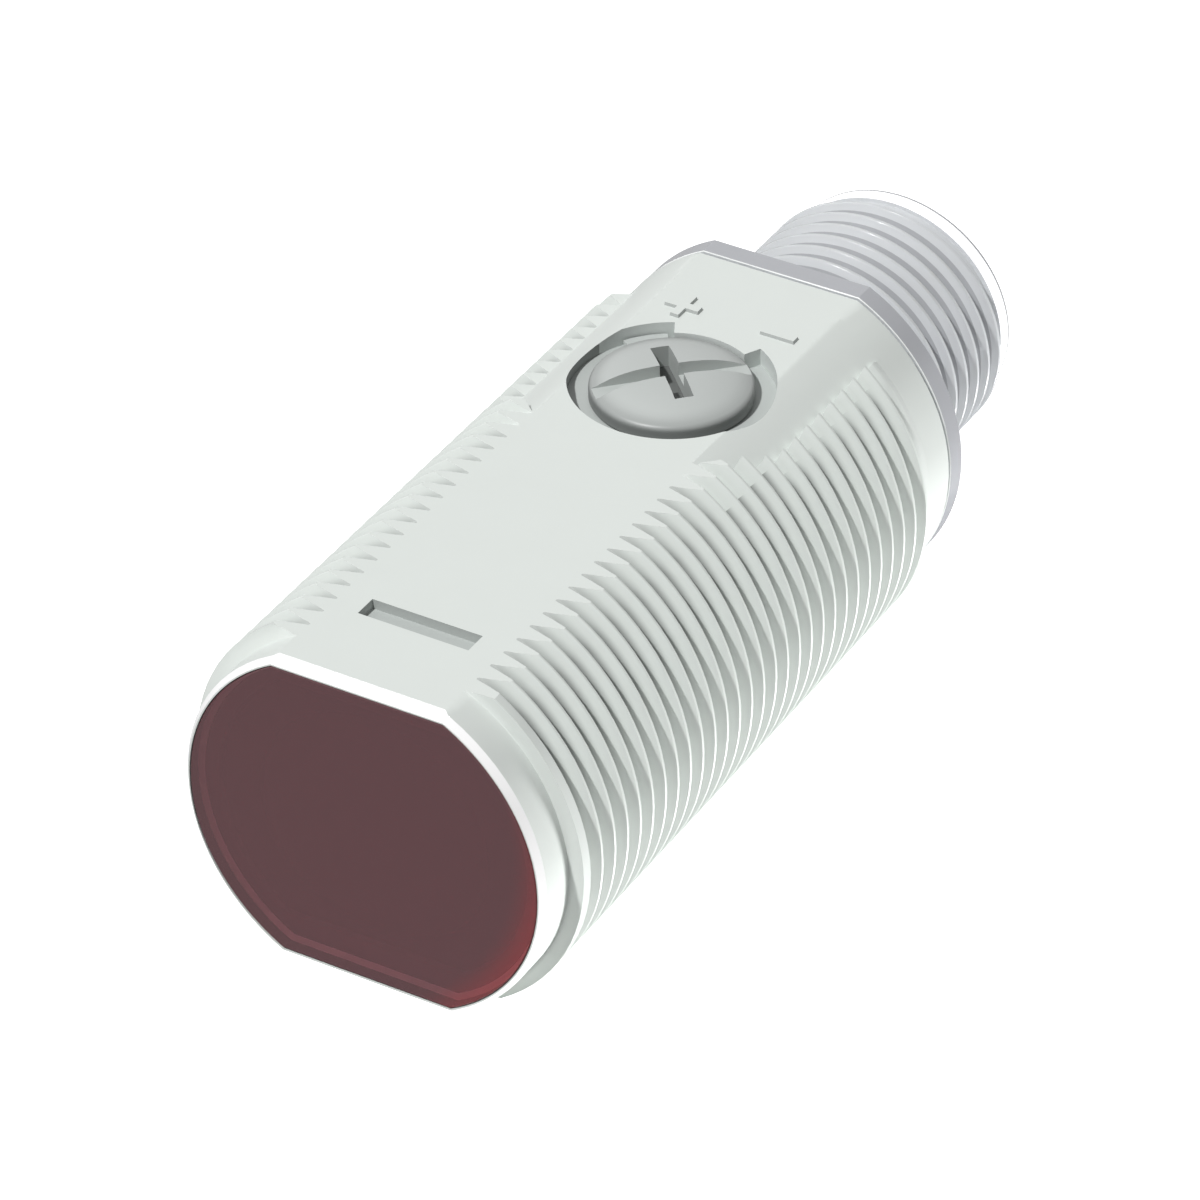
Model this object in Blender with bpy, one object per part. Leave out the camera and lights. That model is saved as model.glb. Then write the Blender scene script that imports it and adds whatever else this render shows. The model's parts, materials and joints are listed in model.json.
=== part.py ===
"""Transparent object sensor: an M18 threaded light barrel with an M12 plug.

Run with: blender --background --python part.py

The part lies along +Y on its lower flat. The origin is the centre of the
window's outer face, +Z points out of the flat that carries the adjuster, and
the plug is at the far end. Every size is in metres.
"""

import math

import bpy
import bmesh
from mathutils import Matrix, Vector

# Barrel with an M18 x 1 thread and two flats
THREAD_PITCH = 0.001
THREAD_CREST_R = 0.00895
THREAD_DEPTH = 0.00065
THREAD_START_Y = 0.00186
THREAD_RUN_IN_DEG = 40.0
REAR_COLLAR = 0.0024
BARREL_LENGTH = 0.03374
BARREL_FACETS = 36
FLAT_CUT = 0.00091
FLAT_WALL = 0.00159
SIDE_WALL = 0.0012
FRONT_CHAMFER = 0.00045
FRONT_LAND = 0.00006
REAR_CHAMFER = 0.0001

# Window
FRONT_RIM = 0.00031
FLAT_RIM = 0.00042
WINDOW_THICK = 0.0014
WINDOW_GAP = 0.00004

# Blind slot in the upper flat, behind the window
SLOT_HALF_WIDTH = 0.00253
SLOT_FRONT_Y = 0.00421
SLOT_LENGTH = 0.00109
SLOT_DEPTH = 0.00045

# Sensitivity adjuster and its pocket
KNOB_R = 0.00345
KNOB_CROWN = 0.00055
KNOB_EDGE_DROP = 0.00026
KNOB_EDGE_ROUND = 0.00012
POCKET_RING = 0.0009
POCKET_DEPTH = 0.0008
STOP_HALF_DEG = 28.0
LUG_HALF_DEG = 13.0
LUG_REST_GAP_DEG = 4.0
LUG_THICK = 0.0002
CROSS_WIDTH = 0.0008
CROSS_SHORT_HALF = 0.00195
CROSS_LONG_WEB = 0.00045
CROSS_SHORT_WEB = 0.0001
SHAFT_R = 0.0011
BLADE_WIDTH = 0.0007
BLADE_INSET = 0.0002
BLADE_DEPTH = 0.0004
SEAL_WIDTH = 0.00085
SEAL_SEAT_DEPTH = 0.00042

# Smooth land beside the adjuster, where the thread is cut back to its root
RELIEF_RIM = 0.00115
RELIEF_BELOW_ROOT = 0.00003

# Raised marks beside the adjuster
MARK_SPAN = 0.0016
MARK_ARM = 0.00042
MARK_HEIGHT = 0.00015
MARK_X = 0.00228
MARK_FROM_POCKET = 0.00064

# Plug body with an M12 x 1 thread, around its socket
SOCKET_R = 0.0043
SOCKET_WALL = 0.00105
PLUG_THREAD_DEPTH = 0.00055
NOSE_ABOVE_ROOT = 0.00015
NOSE_LENGTH = 0.00122
PLUG_LENGTH = 0.00981
PLUG_NECK = 0.0012
PLUG_FACETS = 28
FLANGE_THICK = 0.00102
FLANGE_INSET = 0.00002
KEY_WIDTH = 0.001
KEY_HEIGHT = 0.0008
SPIGOT_LENGTH = 0.0028
SPIGOT_WALL = 0.0009
SEAL_GROOVE = 0.0012
SEAL_GROOVE_DEPTH = 0.0005
SEAL_GROOVE_INSET = 0.0008

# Contacts
CARRIER_LENGTH = 0.0027
CARRIER_LIP = 0.0002
CARRIER_LIP_THICK = 0.0004
PIN_R = 0.0005
PIN_EDGE = 0.0008
PIN_RECESS = 0.0012
PIN_COUNT = 4
PIN_TIP_R = 0.00035
PIN_TIP_DROP = 0.00015

# Optics
HOLDER_WALL = 0.0006
LENS_THICK = 0.0026
LENS_EDGE = 0.0009
LENS_LEDGE = 0.001
FILTER_THICK = 0.0004
SPLITTER_INSET = 0.0009
SPLITTER_THICK = 0.0006
EMITTER_R = 0.00145
EMITTER_FLANGE_R = 0.0018
EMITTER_LENGTH = 0.0026
EMITTER_FLANGE = 0.0006
EMITTER_TIP_R = 0.00087
EMITTER_TIP_DROP = 0.00029
EMITTER_DOME = 0.001
DIODE_HALF = 0.00145
DIODE_THICK = 0.001
REAR_WALL = 0.0022

# Boards and what they carry
BOARD_LENGTH = 0.01114
BOARD_THICK = 0.001
BOARD_SIDE_GAP = 0.0005
END_BOARD_THICK = 0.0008
ROTOR_R = 0.0016
ROTOR_THICK = 0.0007
ROTOR_PIN_R = 0.0006
ROTOR_PIN_DEPTH = 0.0009
ROTOR_HEADROOM = 0.0012
TRIMMER_RIM = 0.0006
CHIP_SIZE = (0.005, 0.0034, 0.001)
REGULATOR_SIZE = (0.0045, 0.0025, 0.0015)
CAPACITOR_SIZE = (0.0035, 0.0028, 0.0019)
TRANSISTOR_SIZE = (0.0029, 0.0016, 0.0011)
PROTECTION_SIZE = (0.0036, 0.0026, 0.002)
LED_SIZE = (0.0016, 0.0007, 0.0008)
PARTS_X = 0.0027
PARTS_GAP = 0.00024

# Clearances and mesh density
GAP = 0.0001
LOOSE_GAP = 0.0003
RUNNING_GAP = 0.00008
SINK = 0.00005
REACH = 0.002
ROUND_FACETS = 64
SMALL_FACETS = 24
KNOB_FACETS = 48
PIN_FACETS = 16
DOME_STEPS = 6
LUG_STEPS = 6
SHARP_EDGE_DEG = 30.0

# Barrel and window sizes that follow from the ones above
THREAD_ROOT_R = THREAD_CREST_R - THREAD_DEPTH
THREAD_TURNS = int((BARREL_LENGTH - THREAD_START_Y - REAR_COLLAR) / THREAD_PITCH)
THREAD_END_Y = THREAD_START_Y + THREAD_TURNS * THREAD_PITCH
FLAT_HALF = THREAD_ROOT_R - FLAT_CUT
BORE_R = THREAD_ROOT_R - SIDE_WALL
BORE_HALF = FLAT_HALF - FLAT_WALL
WINDOW_R = THREAD_ROOT_R - FRONT_RIM
WINDOW_HALF = FLAT_HALF - FLAT_RIM
SLOT_MIDDLE_Y = SLOT_FRONT_Y + SLOT_LENGTH / 2

# Plug sizes and places that follow
PLUG_ROOT_R = SOCKET_R + SOCKET_WALL
PLUG_CREST_R = PLUG_ROOT_R + PLUG_THREAD_DEPTH
PLUG_NOSE_R = PLUG_ROOT_R + NOSE_ABOVE_ROOT
PLUG_THREAD_TURNS = int((PLUG_LENGTH - PLUG_NECK - NOSE_LENGTH) / THREAD_PITCH)
PIN_CIRCLE_R = SOCKET_R - PIN_EDGE
FLANGE_R = THREAD_ROOT_R - FLANGE_INSET
FLANGE_FRONT_Y = BARREL_LENGTH + GAP
FLANGE_REAR_Y = FLANGE_FRONT_Y + FLANGE_THICK
PLUG_END_Y = FLANGE_REAR_Y + PLUG_LENGTH
SPIGOT_FRONT_Y = FLANGE_FRONT_Y - SPIGOT_LENGTH
SPIGOT_R = BORE_R - GAP
SPIGOT_HALF = BORE_HALF - GAP
END_BOARD_REAR_Y = FLANGE_FRONT_Y - 2 * LED_SIZE[1]
END_BOARD_FRONT_Y = END_BOARD_REAR_Y - END_BOARD_THICK

# Board, trimmer and knob, stacked forward from the plug
BOARD_REAR_Y = SPIGOT_FRONT_Y - LOOSE_GAP
BOARD_FRONT_Y = BOARD_REAR_Y - BOARD_LENGTH
BOARD_TOP_Z = BOARD_THICK / 2
BOARD_HALF_WIDTH = BORE_R - BOARD_SIDE_GAP
CHIP_Y = BOARD_REAR_Y - LOOSE_GAP - CHIP_SIZE[1] / 2
TRIMMER_HALF = ROTOR_R + TRIMMER_RIM
KNOB_Y = CHIP_Y - CHIP_SIZE[1] / 2 - PARTS_GAP - TRIMMER_HALF
ROTOR_TOP_Z = BORE_HALF - ROTOR_HEADROOM
ROTOR_BASE_Z = ROTOR_TOP_Z - ROTOR_THICK
TRIMMER_BASE_Z = BOARD_TOP_Z + GAP
TRIMMER_HEIGHT = ROTOR_BASE_Z - GAP - TRIMMER_BASE_Z
POCKET_R = KNOB_R + POCKET_RING
POCKET_FLOOR_Z = FLAT_HALF - POCKET_DEPTH
KNOB_BASE_Z = POCKET_FLOOR_Z + GAP
LUG_CENTRE_DEG = STOP_HALF_DEG + LUG_REST_GAP_DEG + LUG_HALF_DEG
SEAL_R = SHAFT_R + SEAL_WIDTH
RELIEF_HALF = POCKET_R + RELIEF_RIM
MARK_Y = KNOB_Y + POCKET_R + MARK_FROM_POCKET

# Optics, between the window and the board
HOLDER_FRONT_Y = WINDOW_THICK + 2 * GAP
HOLDER_REAR_Y = BOARD_FRONT_Y - LOOSE_GAP - GAP - EMITTER_FLANGE
FILTER_Y = HOLDER_FRONT_Y + GAP
LENS_Y = FILTER_Y + FILTER_THICK + GAP
LENS_R = BORE_HALF - HOLDER_WALL
CHANNEL_R = LENS_R - LENS_LEDGE
SPLITTER_HALF_WIDTH = CHANNEL_R - SPLITTER_INSET
SPLITTER_RISE = math.sqrt(CHANNEL_R ** 2 - SPLITTER_HALF_WIDTH ** 2) - LOOSE_GAP
SPLITTER_HALF_LENGTH = SPLITTER_RISE * math.sqrt(2) - SPLITTER_THICK / 2
SPLITTER_Y = HOLDER_REAR_Y - REAR_WALL - LOOSE_GAP - SPLITTER_RISE


def clear_scene():
    """Remove what the start-up file put in the scene."""
    for obj in list(bpy.data.objects):
        bpy.data.objects.remove(obj, do_unlink=True)


def make_material(name, colour, roughness, metallic=0.0, transmission=0.0):
    """Return a Principled material of one colour."""
    material = bpy.data.materials.new(name)
    material.use_nodes = True
    shader = material.node_tree.nodes["Principled BSDF"]
    shader.inputs["Base Color"].default_value = (*colour, 1.0)
    shader.inputs["Roughness"].default_value = roughness
    shader.inputs["Metallic"].default_value = metallic
    shader.inputs["Transmission Weight"].default_value = transmission
    material.diffuse_color = (*colour, 1.0)
    return material


def make_object(name, bm, material=None, location=(0.0, 0.0, 0.0), smooth=False):
    """Turn a bmesh into a named object and free the bmesh."""
    bmesh.ops.recalc_face_normals(bm, faces=bm.faces)
    mesh = bpy.data.meshes.new(name)
    bm.to_mesh(mesh)
    bm.free()
    obj = bpy.data.objects.new(name, mesh)
    bpy.context.collection.objects.link(obj)
    obj.location = location
    if material is not None:
        mesh.materials.append(material)
    if smooth:
        mesh.shade_smooth()
        mesh.set_sharp_from_angle(angle=math.radians(SHARP_EDGE_DEG))
    return obj


def add_boolean(target, tool, operation):
    """Apply a hidden tool to a target with an exact Boolean modifier."""
    tool.hide_render = True
    tool.display_type = 'WIRE'
    modifier = target.modifiers.new(f"{operation.lower()}_{tool.name}", 'BOOLEAN')
    modifier.operation = operation
    modifier.solver = 'EXACT'
    modifier.object = tool


def cut(target, *tools):
    """Subtract each tool from the target."""
    for tool in tools:
        add_boolean(target, tool, 'DIFFERENCE')


def add(target, *tools):
    """Unite each tool with the target."""
    for tool in tools:
        add_boolean(target, tool, 'UNION')


def flatted_circle(radius, half, facets):
    """Return (x, z) points of a circle with flats at z = +half and -half."""
    limit = math.acos(half / radius)
    per_side = facets // 2
    points = []
    for side in (1, -1):
        for step in range(per_side + 1):
            angle = limit + (math.pi - 2 * limit) * step / per_side
            points.append((side * radius * math.sin(angle), side * radius * math.cos(angle)))
    return points


def loft(loops):
    """Bridge closed loops of Vector points and cap both ends."""
    bm = bmesh.new()
    rows = [[bm.verts.new(point) for point in loop] for loop in loops]
    for low, high in zip(rows, rows[1:]):
        for i, corner in enumerate(low):
            j = (i + 1) % len(low)
            bm.faces.new((corner, low[j], high[j], high[i]))
    bm.faces.new(rows[0])
    bm.faces.new(rows[-1])
    return bm


def prism_y(outline, y0, y1):
    """Extrude an (x, z) outline from y0 to y1."""
    return loft([[Vector((x, y, z)) for x, z in outline] for y in (y0, y1)])


def prism_z(outline, z0, z1):
    """Extrude an (x, y) outline from z0 to z1."""
    return loft([[Vector((x, y, z)) for x, y in outline] for z in (z0, z1)])


def box(size, centre=(0.0, 0.0, 0.0)):
    """Return a box of the given size."""
    bm = bmesh.new()
    bmesh.ops.create_cube(bm, size=1.0)
    bmesh.ops.scale(bm, vec=size, verts=bm.verts)
    bmesh.ops.translate(bm, vec=centre, verts=bm.verts)
    return bm


def cylinder(radius, start, end, facets=SMALL_FACETS, axis='Y'):
    """Return a closed cylinder between two places on an axis."""
    bm = bmesh.new()
    bmesh.ops.create_cone(bm, cap_ends=True, segments=facets, radius1=radius,
                          radius2=radius, depth=end - start)
    bmesh.ops.translate(bm, vec=(0.0, 0.0, (start + end) / 2), verts=bm.verts)
    if axis == 'Y':
        bmesh.ops.rotate(bm, matrix=Matrix.Rotation(-math.pi / 2, 3, 'X'), verts=bm.verts)
    return bm


def turned(profile, facets, axis='Z'):
    """Spin an open (radius, height) profile, whose ends lie on the axis, about it."""
    bm = bmesh.new()
    verts = [bm.verts.new((radius, 0.0, height)) for radius, height in profile]
    edges = [bm.edges.new(pair) for pair in zip(verts, verts[1:])]
    bmesh.ops.spin(bm, geom=verts + edges, cent=(0, 0, 0), axis=(0, 0, 1),
                   angle=2 * math.pi, steps=facets, use_merge=True)
    bmesh.ops.remove_doubles(bm, verts=bm.verts, dist=1e-7)
    if axis == 'Y':
        bmesh.ops.rotate(bm, matrix=Matrix.Rotation(-math.pi / 2, 3, 'X'), verts=bm.verts)
    return bm


def threaded_barrel(root_r, crest_r, pitch, start_y, turns, facets, front, rear):
    """Return a solid barrel with a right-hand thread ridge around +Y.

    The ridge starts and ends at the root on the underside and rises to the
    crest over THREAD_RUN_IN_DEG. front and rear are (radius, y) rings, with no
    ridge, before and after the thread.
    """
    bm = bmesh.new()
    run_in = THREAD_RUN_IN_DEG / 360.0

    def ring(radius, y):
        loop = []
        for i in range(facets):
            angle = -math.pi + 2 * math.pi * i / facets
            loop.append(bm.verts.new((radius * math.sin(angle), y, radius * math.cos(angle))))
        return loop

    def helix_vert(row, i):
        # Even rows are the ridge's crest and odd rows its root
        turn = row // 2 + i / facets
        angle = -math.pi + 2 * math.pi * i / facets
        rise = min(turn / run_in, (turns - turn) / run_in, 1.0)
        crest = row % 2 == 0
        radius = root_r + (crest_r - root_r) * max(rise, 0.0) * crest
        y = start_y + pitch * (row / 2 + i / facets)
        return bm.verts.new((radius * math.sin(angle), y, radius * math.cos(angle)))

    rows = 2 * turns
    grid = [[helix_vert(row, i) for i in range(facets)] for row in range(rows)]
    last = [helix_vert(rows, 0), helix_vert(rows + 1, 0)]
    seam = [grid[row][0] for row in range(rows)] + last

    for row in range(rows - 1):
        for i in range(facets - 1):
            bm.faces.new((grid[row][i], grid[row][i + 1], grid[row + 1][i + 1], grid[row + 1][i]))
        bm.faces.new((grid[row][-1], seam[row + 2], seam[row + 3], grid[row + 1][-1]))

    front_loops = [ring(radius, y) for radius, y in front]
    rear_loops = [ring(radius, y) for radius, y in rear]
    for loops in (front_loops, rear_loops):
        for low, high in zip(loops, loops[1:]):
            for i in range(facets):
                j = (i + 1) % facets
                bm.faces.new((low[i], low[j], high[j], high[i]))
    bm.faces.new(front_loops[0])
    bm.faces.new(rear_loops[-1])

    # The strip from the last front ring to the first turn, closed at the seam
    low = front_loops[-1]
    for i in range(facets - 1):
        bm.faces.new((low[i], low[i + 1], grid[0][i + 1], grid[0][i]))
    bm.faces.new((low[-1], low[0], seam[0], seam[1], seam[2], grid[0][-1]))
    # The strip from the last turn to the first rear ring, closed at the seam
    high = rear_loops[0]
    top = grid[rows - 1]
    bm.faces.new((top[0], top[1], high[1], high[0], seam[rows + 1], seam[rows]))
    for i in range(1, facets - 1):
        bm.faces.new((top[i], top[i + 1], high[i + 1], high[i]))
    bm.faces.new((top[-1], seam[rows + 1], high[0], high[-1]))
    return bm


def at_knob(points):
    """Move (x, y) points from the knob's axis to their place on the barrel."""
    return [(x, y + KNOB_Y) for x, y in points]


def arc(radius, from_deg, to_deg, steps):
    """Return (x, y) points on an arc, with angles from +Y towards +X."""
    points = []
    for i in range(steps + 1):
        angle = math.radians(from_deg + (to_deg - from_deg) * i / steps)
        points.append((radius * math.sin(angle), radius * math.cos(angle)))
    return points


def cross_outline(span, arm):
    """Return the twelve (x, y) corners of a plus mark."""
    s, a = span / 2, arm / 2
    return [(-a, -s), (a, -s), (a, -a), (s, -a), (s, a), (a, a),
            (a, s), (-a, s), (-a, a), (-s, a), (-s, -a), (-a, -a)]


def rectangle(half_x, half_y, centre=(0.0, 0.0)):
    """Return the four (x, y) corners of a rectangle."""
    x, y = centre
    return [(x - half_x, y - half_y), (x + half_x, y - half_y),
            (x + half_x, y + half_y), (x - half_x, y + half_y)]


def flat_cutter(name, side):
    """Return the wedge that cuts one flat and its chamfer at the window."""
    front_z = WINDOW_HALF + WINDOW_GAP + FRONT_LAND
    slope = (FLAT_HALF - front_z) / FRONT_CHAMFER
    end = BARREL_LENGTH + REACH
    outline = [(-REACH, front_z - slope * REACH), (FRONT_CHAMFER, FLAT_HALF),
               (BARREL_LENGTH - REAR_CHAMFER, FLAT_HALF),
               (end, FLAT_HALF - REACH - REAR_CHAMFER),
               (end, THREAD_CREST_R + REACH), (-REACH, THREAD_CREST_R + REACH)]
    half = THREAD_CREST_R + REACH
    loops = [[Vector((x, y, side * z)) for y, z in outline] for x in (-half, half)]
    return make_object(name, loft(loops))


def relief_cutter():
    """Return what trims the thread to its root beside the adjuster."""
    front = arc(RELIEF_HALF, 90.0, 270.0, ROUND_FACETS // 2)
    rear_y = THREAD_END_Y + THREAD_PITCH - KNOB_Y
    outline = front + [(-RELIEF_HALF, rear_y), (RELIEF_HALF, rear_y)]
    cutter = make_object("relief_cutter", prism_z(at_knob(outline), BORE_HALF - LOOSE_GAP,
                                                  THREAD_CREST_R + REACH))
    core_r = THREAD_ROOT_R - RELIEF_BELOW_ROOT
    core = make_object("relief_core", cylinder(core_r, -REACH, BARREL_LENGTH + REACH,
                                               BARREL_FACETS))
    cut(cutter, core)
    return cutter


def pocket_outline():
    """Return the adjuster pocket: a ring with a stop block towards the plug."""
    inner_r = KNOB_R + GAP
    outer = arc(POCKET_R, STOP_HALF_DEG, 360.0 - STOP_HALF_DEG, ROUND_FACETS)
    inner = arc(inner_r, -STOP_HALF_DEG, STOP_HALF_DEG, SMALL_FACETS // 2)
    return at_knob(outer + inner)


def build_housing(material):
    """Model the barrel: thread, flats, bore, window seat, slot, pocket and marks."""
    front = [(WINDOW_R + WINDOW_GAP + FRONT_LAND, 0.0), (THREAD_ROOT_R, FRONT_CHAMFER),
             (THREAD_ROOT_R, THREAD_START_Y - THREAD_PITCH / 2)]
    rear = [(THREAD_ROOT_R, THREAD_END_Y + THREAD_PITCH),
            (THREAD_ROOT_R, BARREL_LENGTH - REAR_CHAMFER),
            (THREAD_ROOT_R - REAR_CHAMFER, BARREL_LENGTH)]
    barrel = threaded_barrel(THREAD_ROOT_R, THREAD_CREST_R, THREAD_PITCH, THREAD_START_Y,
                             THREAD_TURNS, BARREL_FACETS, front, rear)
    housing = make_object("housing", barrel, material)
    cut(housing, flat_cutter("upper_flat_cutter", 1), flat_cutter("lower_flat_cutter", -1))

    bore = prism_y(flatted_circle(BORE_R, BORE_HALF, ROUND_FACETS), -REACH,
                   BARREL_LENGTH + REACH)
    seat = prism_y(flatted_circle(WINDOW_R + WINDOW_GAP, WINDOW_HALF + WINDOW_GAP, ROUND_FACETS),
                   -REACH, WINDOW_THICK + WINDOW_GAP)
    cut(housing, make_object("bore_cutter", bore), make_object("window_seat_cutter", seat))

    top = FLAT_HALF + REACH
    slot = rectangle(SLOT_HALF_WIDTH, SLOT_LENGTH / 2, (0.0, SLOT_MIDDLE_Y))
    slot_cutter = make_object("slot_cutter", prism_z(slot, FLAT_HALF - SLOT_DEPTH, top))
    cut(housing, slot_cutter, relief_cutter())

    pocket = make_object("pocket_cutter", prism_z(pocket_outline(), POCKET_FLOOR_Z, top))
    seal_seat = make_object("seal_seat_cutter",
                            cylinder(SEAL_R + SINK, POCKET_FLOOR_Z - SEAL_SEAT_DEPTH, top,
                                     SMALL_FACETS, 'Z'), location=(0.0, KNOB_Y, 0.0))
    shaft_hole = make_object("shaft_hole_cutter",
                             cylinder(SHAFT_R + RUNNING_GAP, BORE_HALF - REACH, top,
                                      SMALL_FACETS, 'Z'), location=(0.0, KNOB_Y, 0.0))
    cut(housing, pocket, seal_seat, shaft_hole)

    marks_z = (FLAT_HALF - SINK, FLAT_HALF + MARK_HEIGHT)
    plus = make_object("plus_mark", prism_z(cross_outline(MARK_SPAN, MARK_ARM), *marks_z),
                       location=(-MARK_X, MARK_Y, 0.0))
    minus = make_object("minus_mark", prism_z(rectangle(MARK_SPAN / 2, MARK_ARM / 2), *marks_z),
                        location=(MARK_X, MARK_Y, 0.0))
    add(housing, plus, minus)


def build_window(material):
    """Model the window, glued flush into the front of the barrel."""
    outline = flatted_circle(WINDOW_R, WINDOW_HALF, ROUND_FACETS)
    make_object("front_window", prism_y(outline, 0.0, WINDOW_THICK), material)


def knob_profile():
    """Return the knob's (radius, height) profile, with height 0 at the upper flat."""
    base = KNOB_BASE_Z - FLAT_HALF
    shaft_end = ROTOR_TOP_Z + GAP - FLAT_HALF
    edge = -KNOB_EDGE_DROP
    drop = KNOB_CROWN - edge
    dome_r = KNOB_R - KNOB_EDGE_ROUND
    dome = []
    for i in range(DOME_STEPS + 1):
        radius = dome_r * i / DOME_STEPS
        dome.append((radius, KNOB_CROWN - drop * (radius / dome_r) ** 2))
    side = [(KNOB_R, edge - KNOB_EDGE_ROUND), (KNOB_R, base), (SHAFT_R, base),
            (SHAFT_R, shaft_end), (0.0, shaft_end)]
    return dome + side


def build_knob(material):
    """Model the adjuster knob with its stop lug, cross recess and blade."""
    knob = make_object("adjuster_knob", turned(knob_profile(), KNOB_FACETS), material,
                       (0.0, KNOB_Y, FLAT_HALF), smooth=True)
    base = KNOB_BASE_Z - FLAT_HALF
    lug_r = POCKET_R - GAP
    lug_from = -LUG_CENTRE_DEG - LUG_HALF_DEG
    lug_to = -LUG_CENTRE_DEG + LUG_HALF_DEG
    sector = arc(lug_r, lug_from, lug_to, LUG_STEPS) + arc(SHAFT_R, lug_to, lug_from, LUG_STEPS)
    lug = make_object("lug_tool", prism_z(sector, base, base + LUG_THICK),
                      location=knob.location)
    blade = make_object("blade_tool",
                        box((2 * (SHAFT_R - BLADE_INSET), BLADE_WIDTH, BLADE_DEPTH + SINK),
                            (0.0, 0.0, ROTOR_TOP_Z + GAP - FLAT_HALF - BLADE_DEPTH / 2 + SINK / 2)),
                        location=knob.location)
    add(knob, lug, blade)

    turn = Matrix.Rotation(math.radians(LUG_CENTRE_DEG), 4, 'Z')
    top = KNOB_CROWN + LOOSE_GAP
    long_floor = base + CROSS_LONG_WEB
    short_floor = base + CROSS_SHORT_WEB
    long_slot = box((2 * KNOB_R + REACH, CROSS_WIDTH, top - long_floor),
                    (0.0, 0.0, (top + long_floor) / 2))
    short_slot = box((CROSS_WIDTH, 2 * CROSS_SHORT_HALF, top - short_floor),
                     (0.0, 0.0, (top + short_floor) / 2))
    for name, slot in (("long_slot_tool", long_slot), ("short_slot_tool", short_slot)):
        tool = make_object(name, slot, location=knob.location)
        tool.rotation_euler = turn.to_euler()
        cut(knob, tool)


def build_adjuster_seal(material):
    """Model the seal ring around the knob's shaft."""
    low = POCKET_FLOOR_Z - SEAL_SEAT_DEPTH + SINK
    seal = make_object("adjuster_seal", cylinder(SEAL_R, low, POCKET_FLOOR_Z + SINK, SMALL_FACETS,
                                                 'Z'), material, (0.0, KNOB_Y, 0.0))
    hole = make_object("adjuster_seal_hole",
                       cylinder(SHAFT_R + SINK, low - REACH, POCKET_FLOOR_Z + REACH, SMALL_FACETS,
                                'Z'), location=(0.0, KNOB_Y, 0.0))
    cut(seal, hole)


def build_trimmer(body_material, rotor_material):
    """Model the trimmer on the board and the rotor that the knob turns."""
    body = make_object("trimmer_body",
                       box((2 * TRIMMER_HALF, 2 * TRIMMER_HALF, TRIMMER_HEIGHT),
                           (0.0, 0.0, TRIMMER_HEIGHT / 2)),
                       body_material, (0.0, KNOB_Y, TRIMMER_BASE_Z))
    pin_hole = make_object("trimmer_hole",
                           cylinder(ROTOR_PIN_R + RUNNING_GAP,
                                    TRIMMER_HEIGHT - ROTOR_PIN_DEPTH - GAP,
                                    TRIMMER_HEIGHT + REACH, SMALL_FACETS, 'Z'),
                           location=body.location)
    cut(body, pin_hole)

    profile = [(0.0, -ROTOR_PIN_DEPTH), (ROTOR_PIN_R, -ROTOR_PIN_DEPTH), (ROTOR_PIN_R, 0.0),
               (ROTOR_R, 0.0), (ROTOR_R, ROTOR_THICK), (0.0, ROTOR_THICK)]
    rotor = make_object("trimmer_rotor", turned(profile, SMALL_FACETS), rotor_material,
                        (0.0, KNOB_Y, ROTOR_BASE_Z))
    slot_floor = ROTOR_THICK - BLADE_DEPTH
    slot = make_object("rotor_slot",
                       box((2 * ROTOR_R + REACH, BLADE_WIDTH + 2 * RUNNING_GAP, REACH),
                           (0.0, 0.0, slot_floor + REACH / 2)),
                       location=rotor.location)
    cut(rotor, slot)


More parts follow.
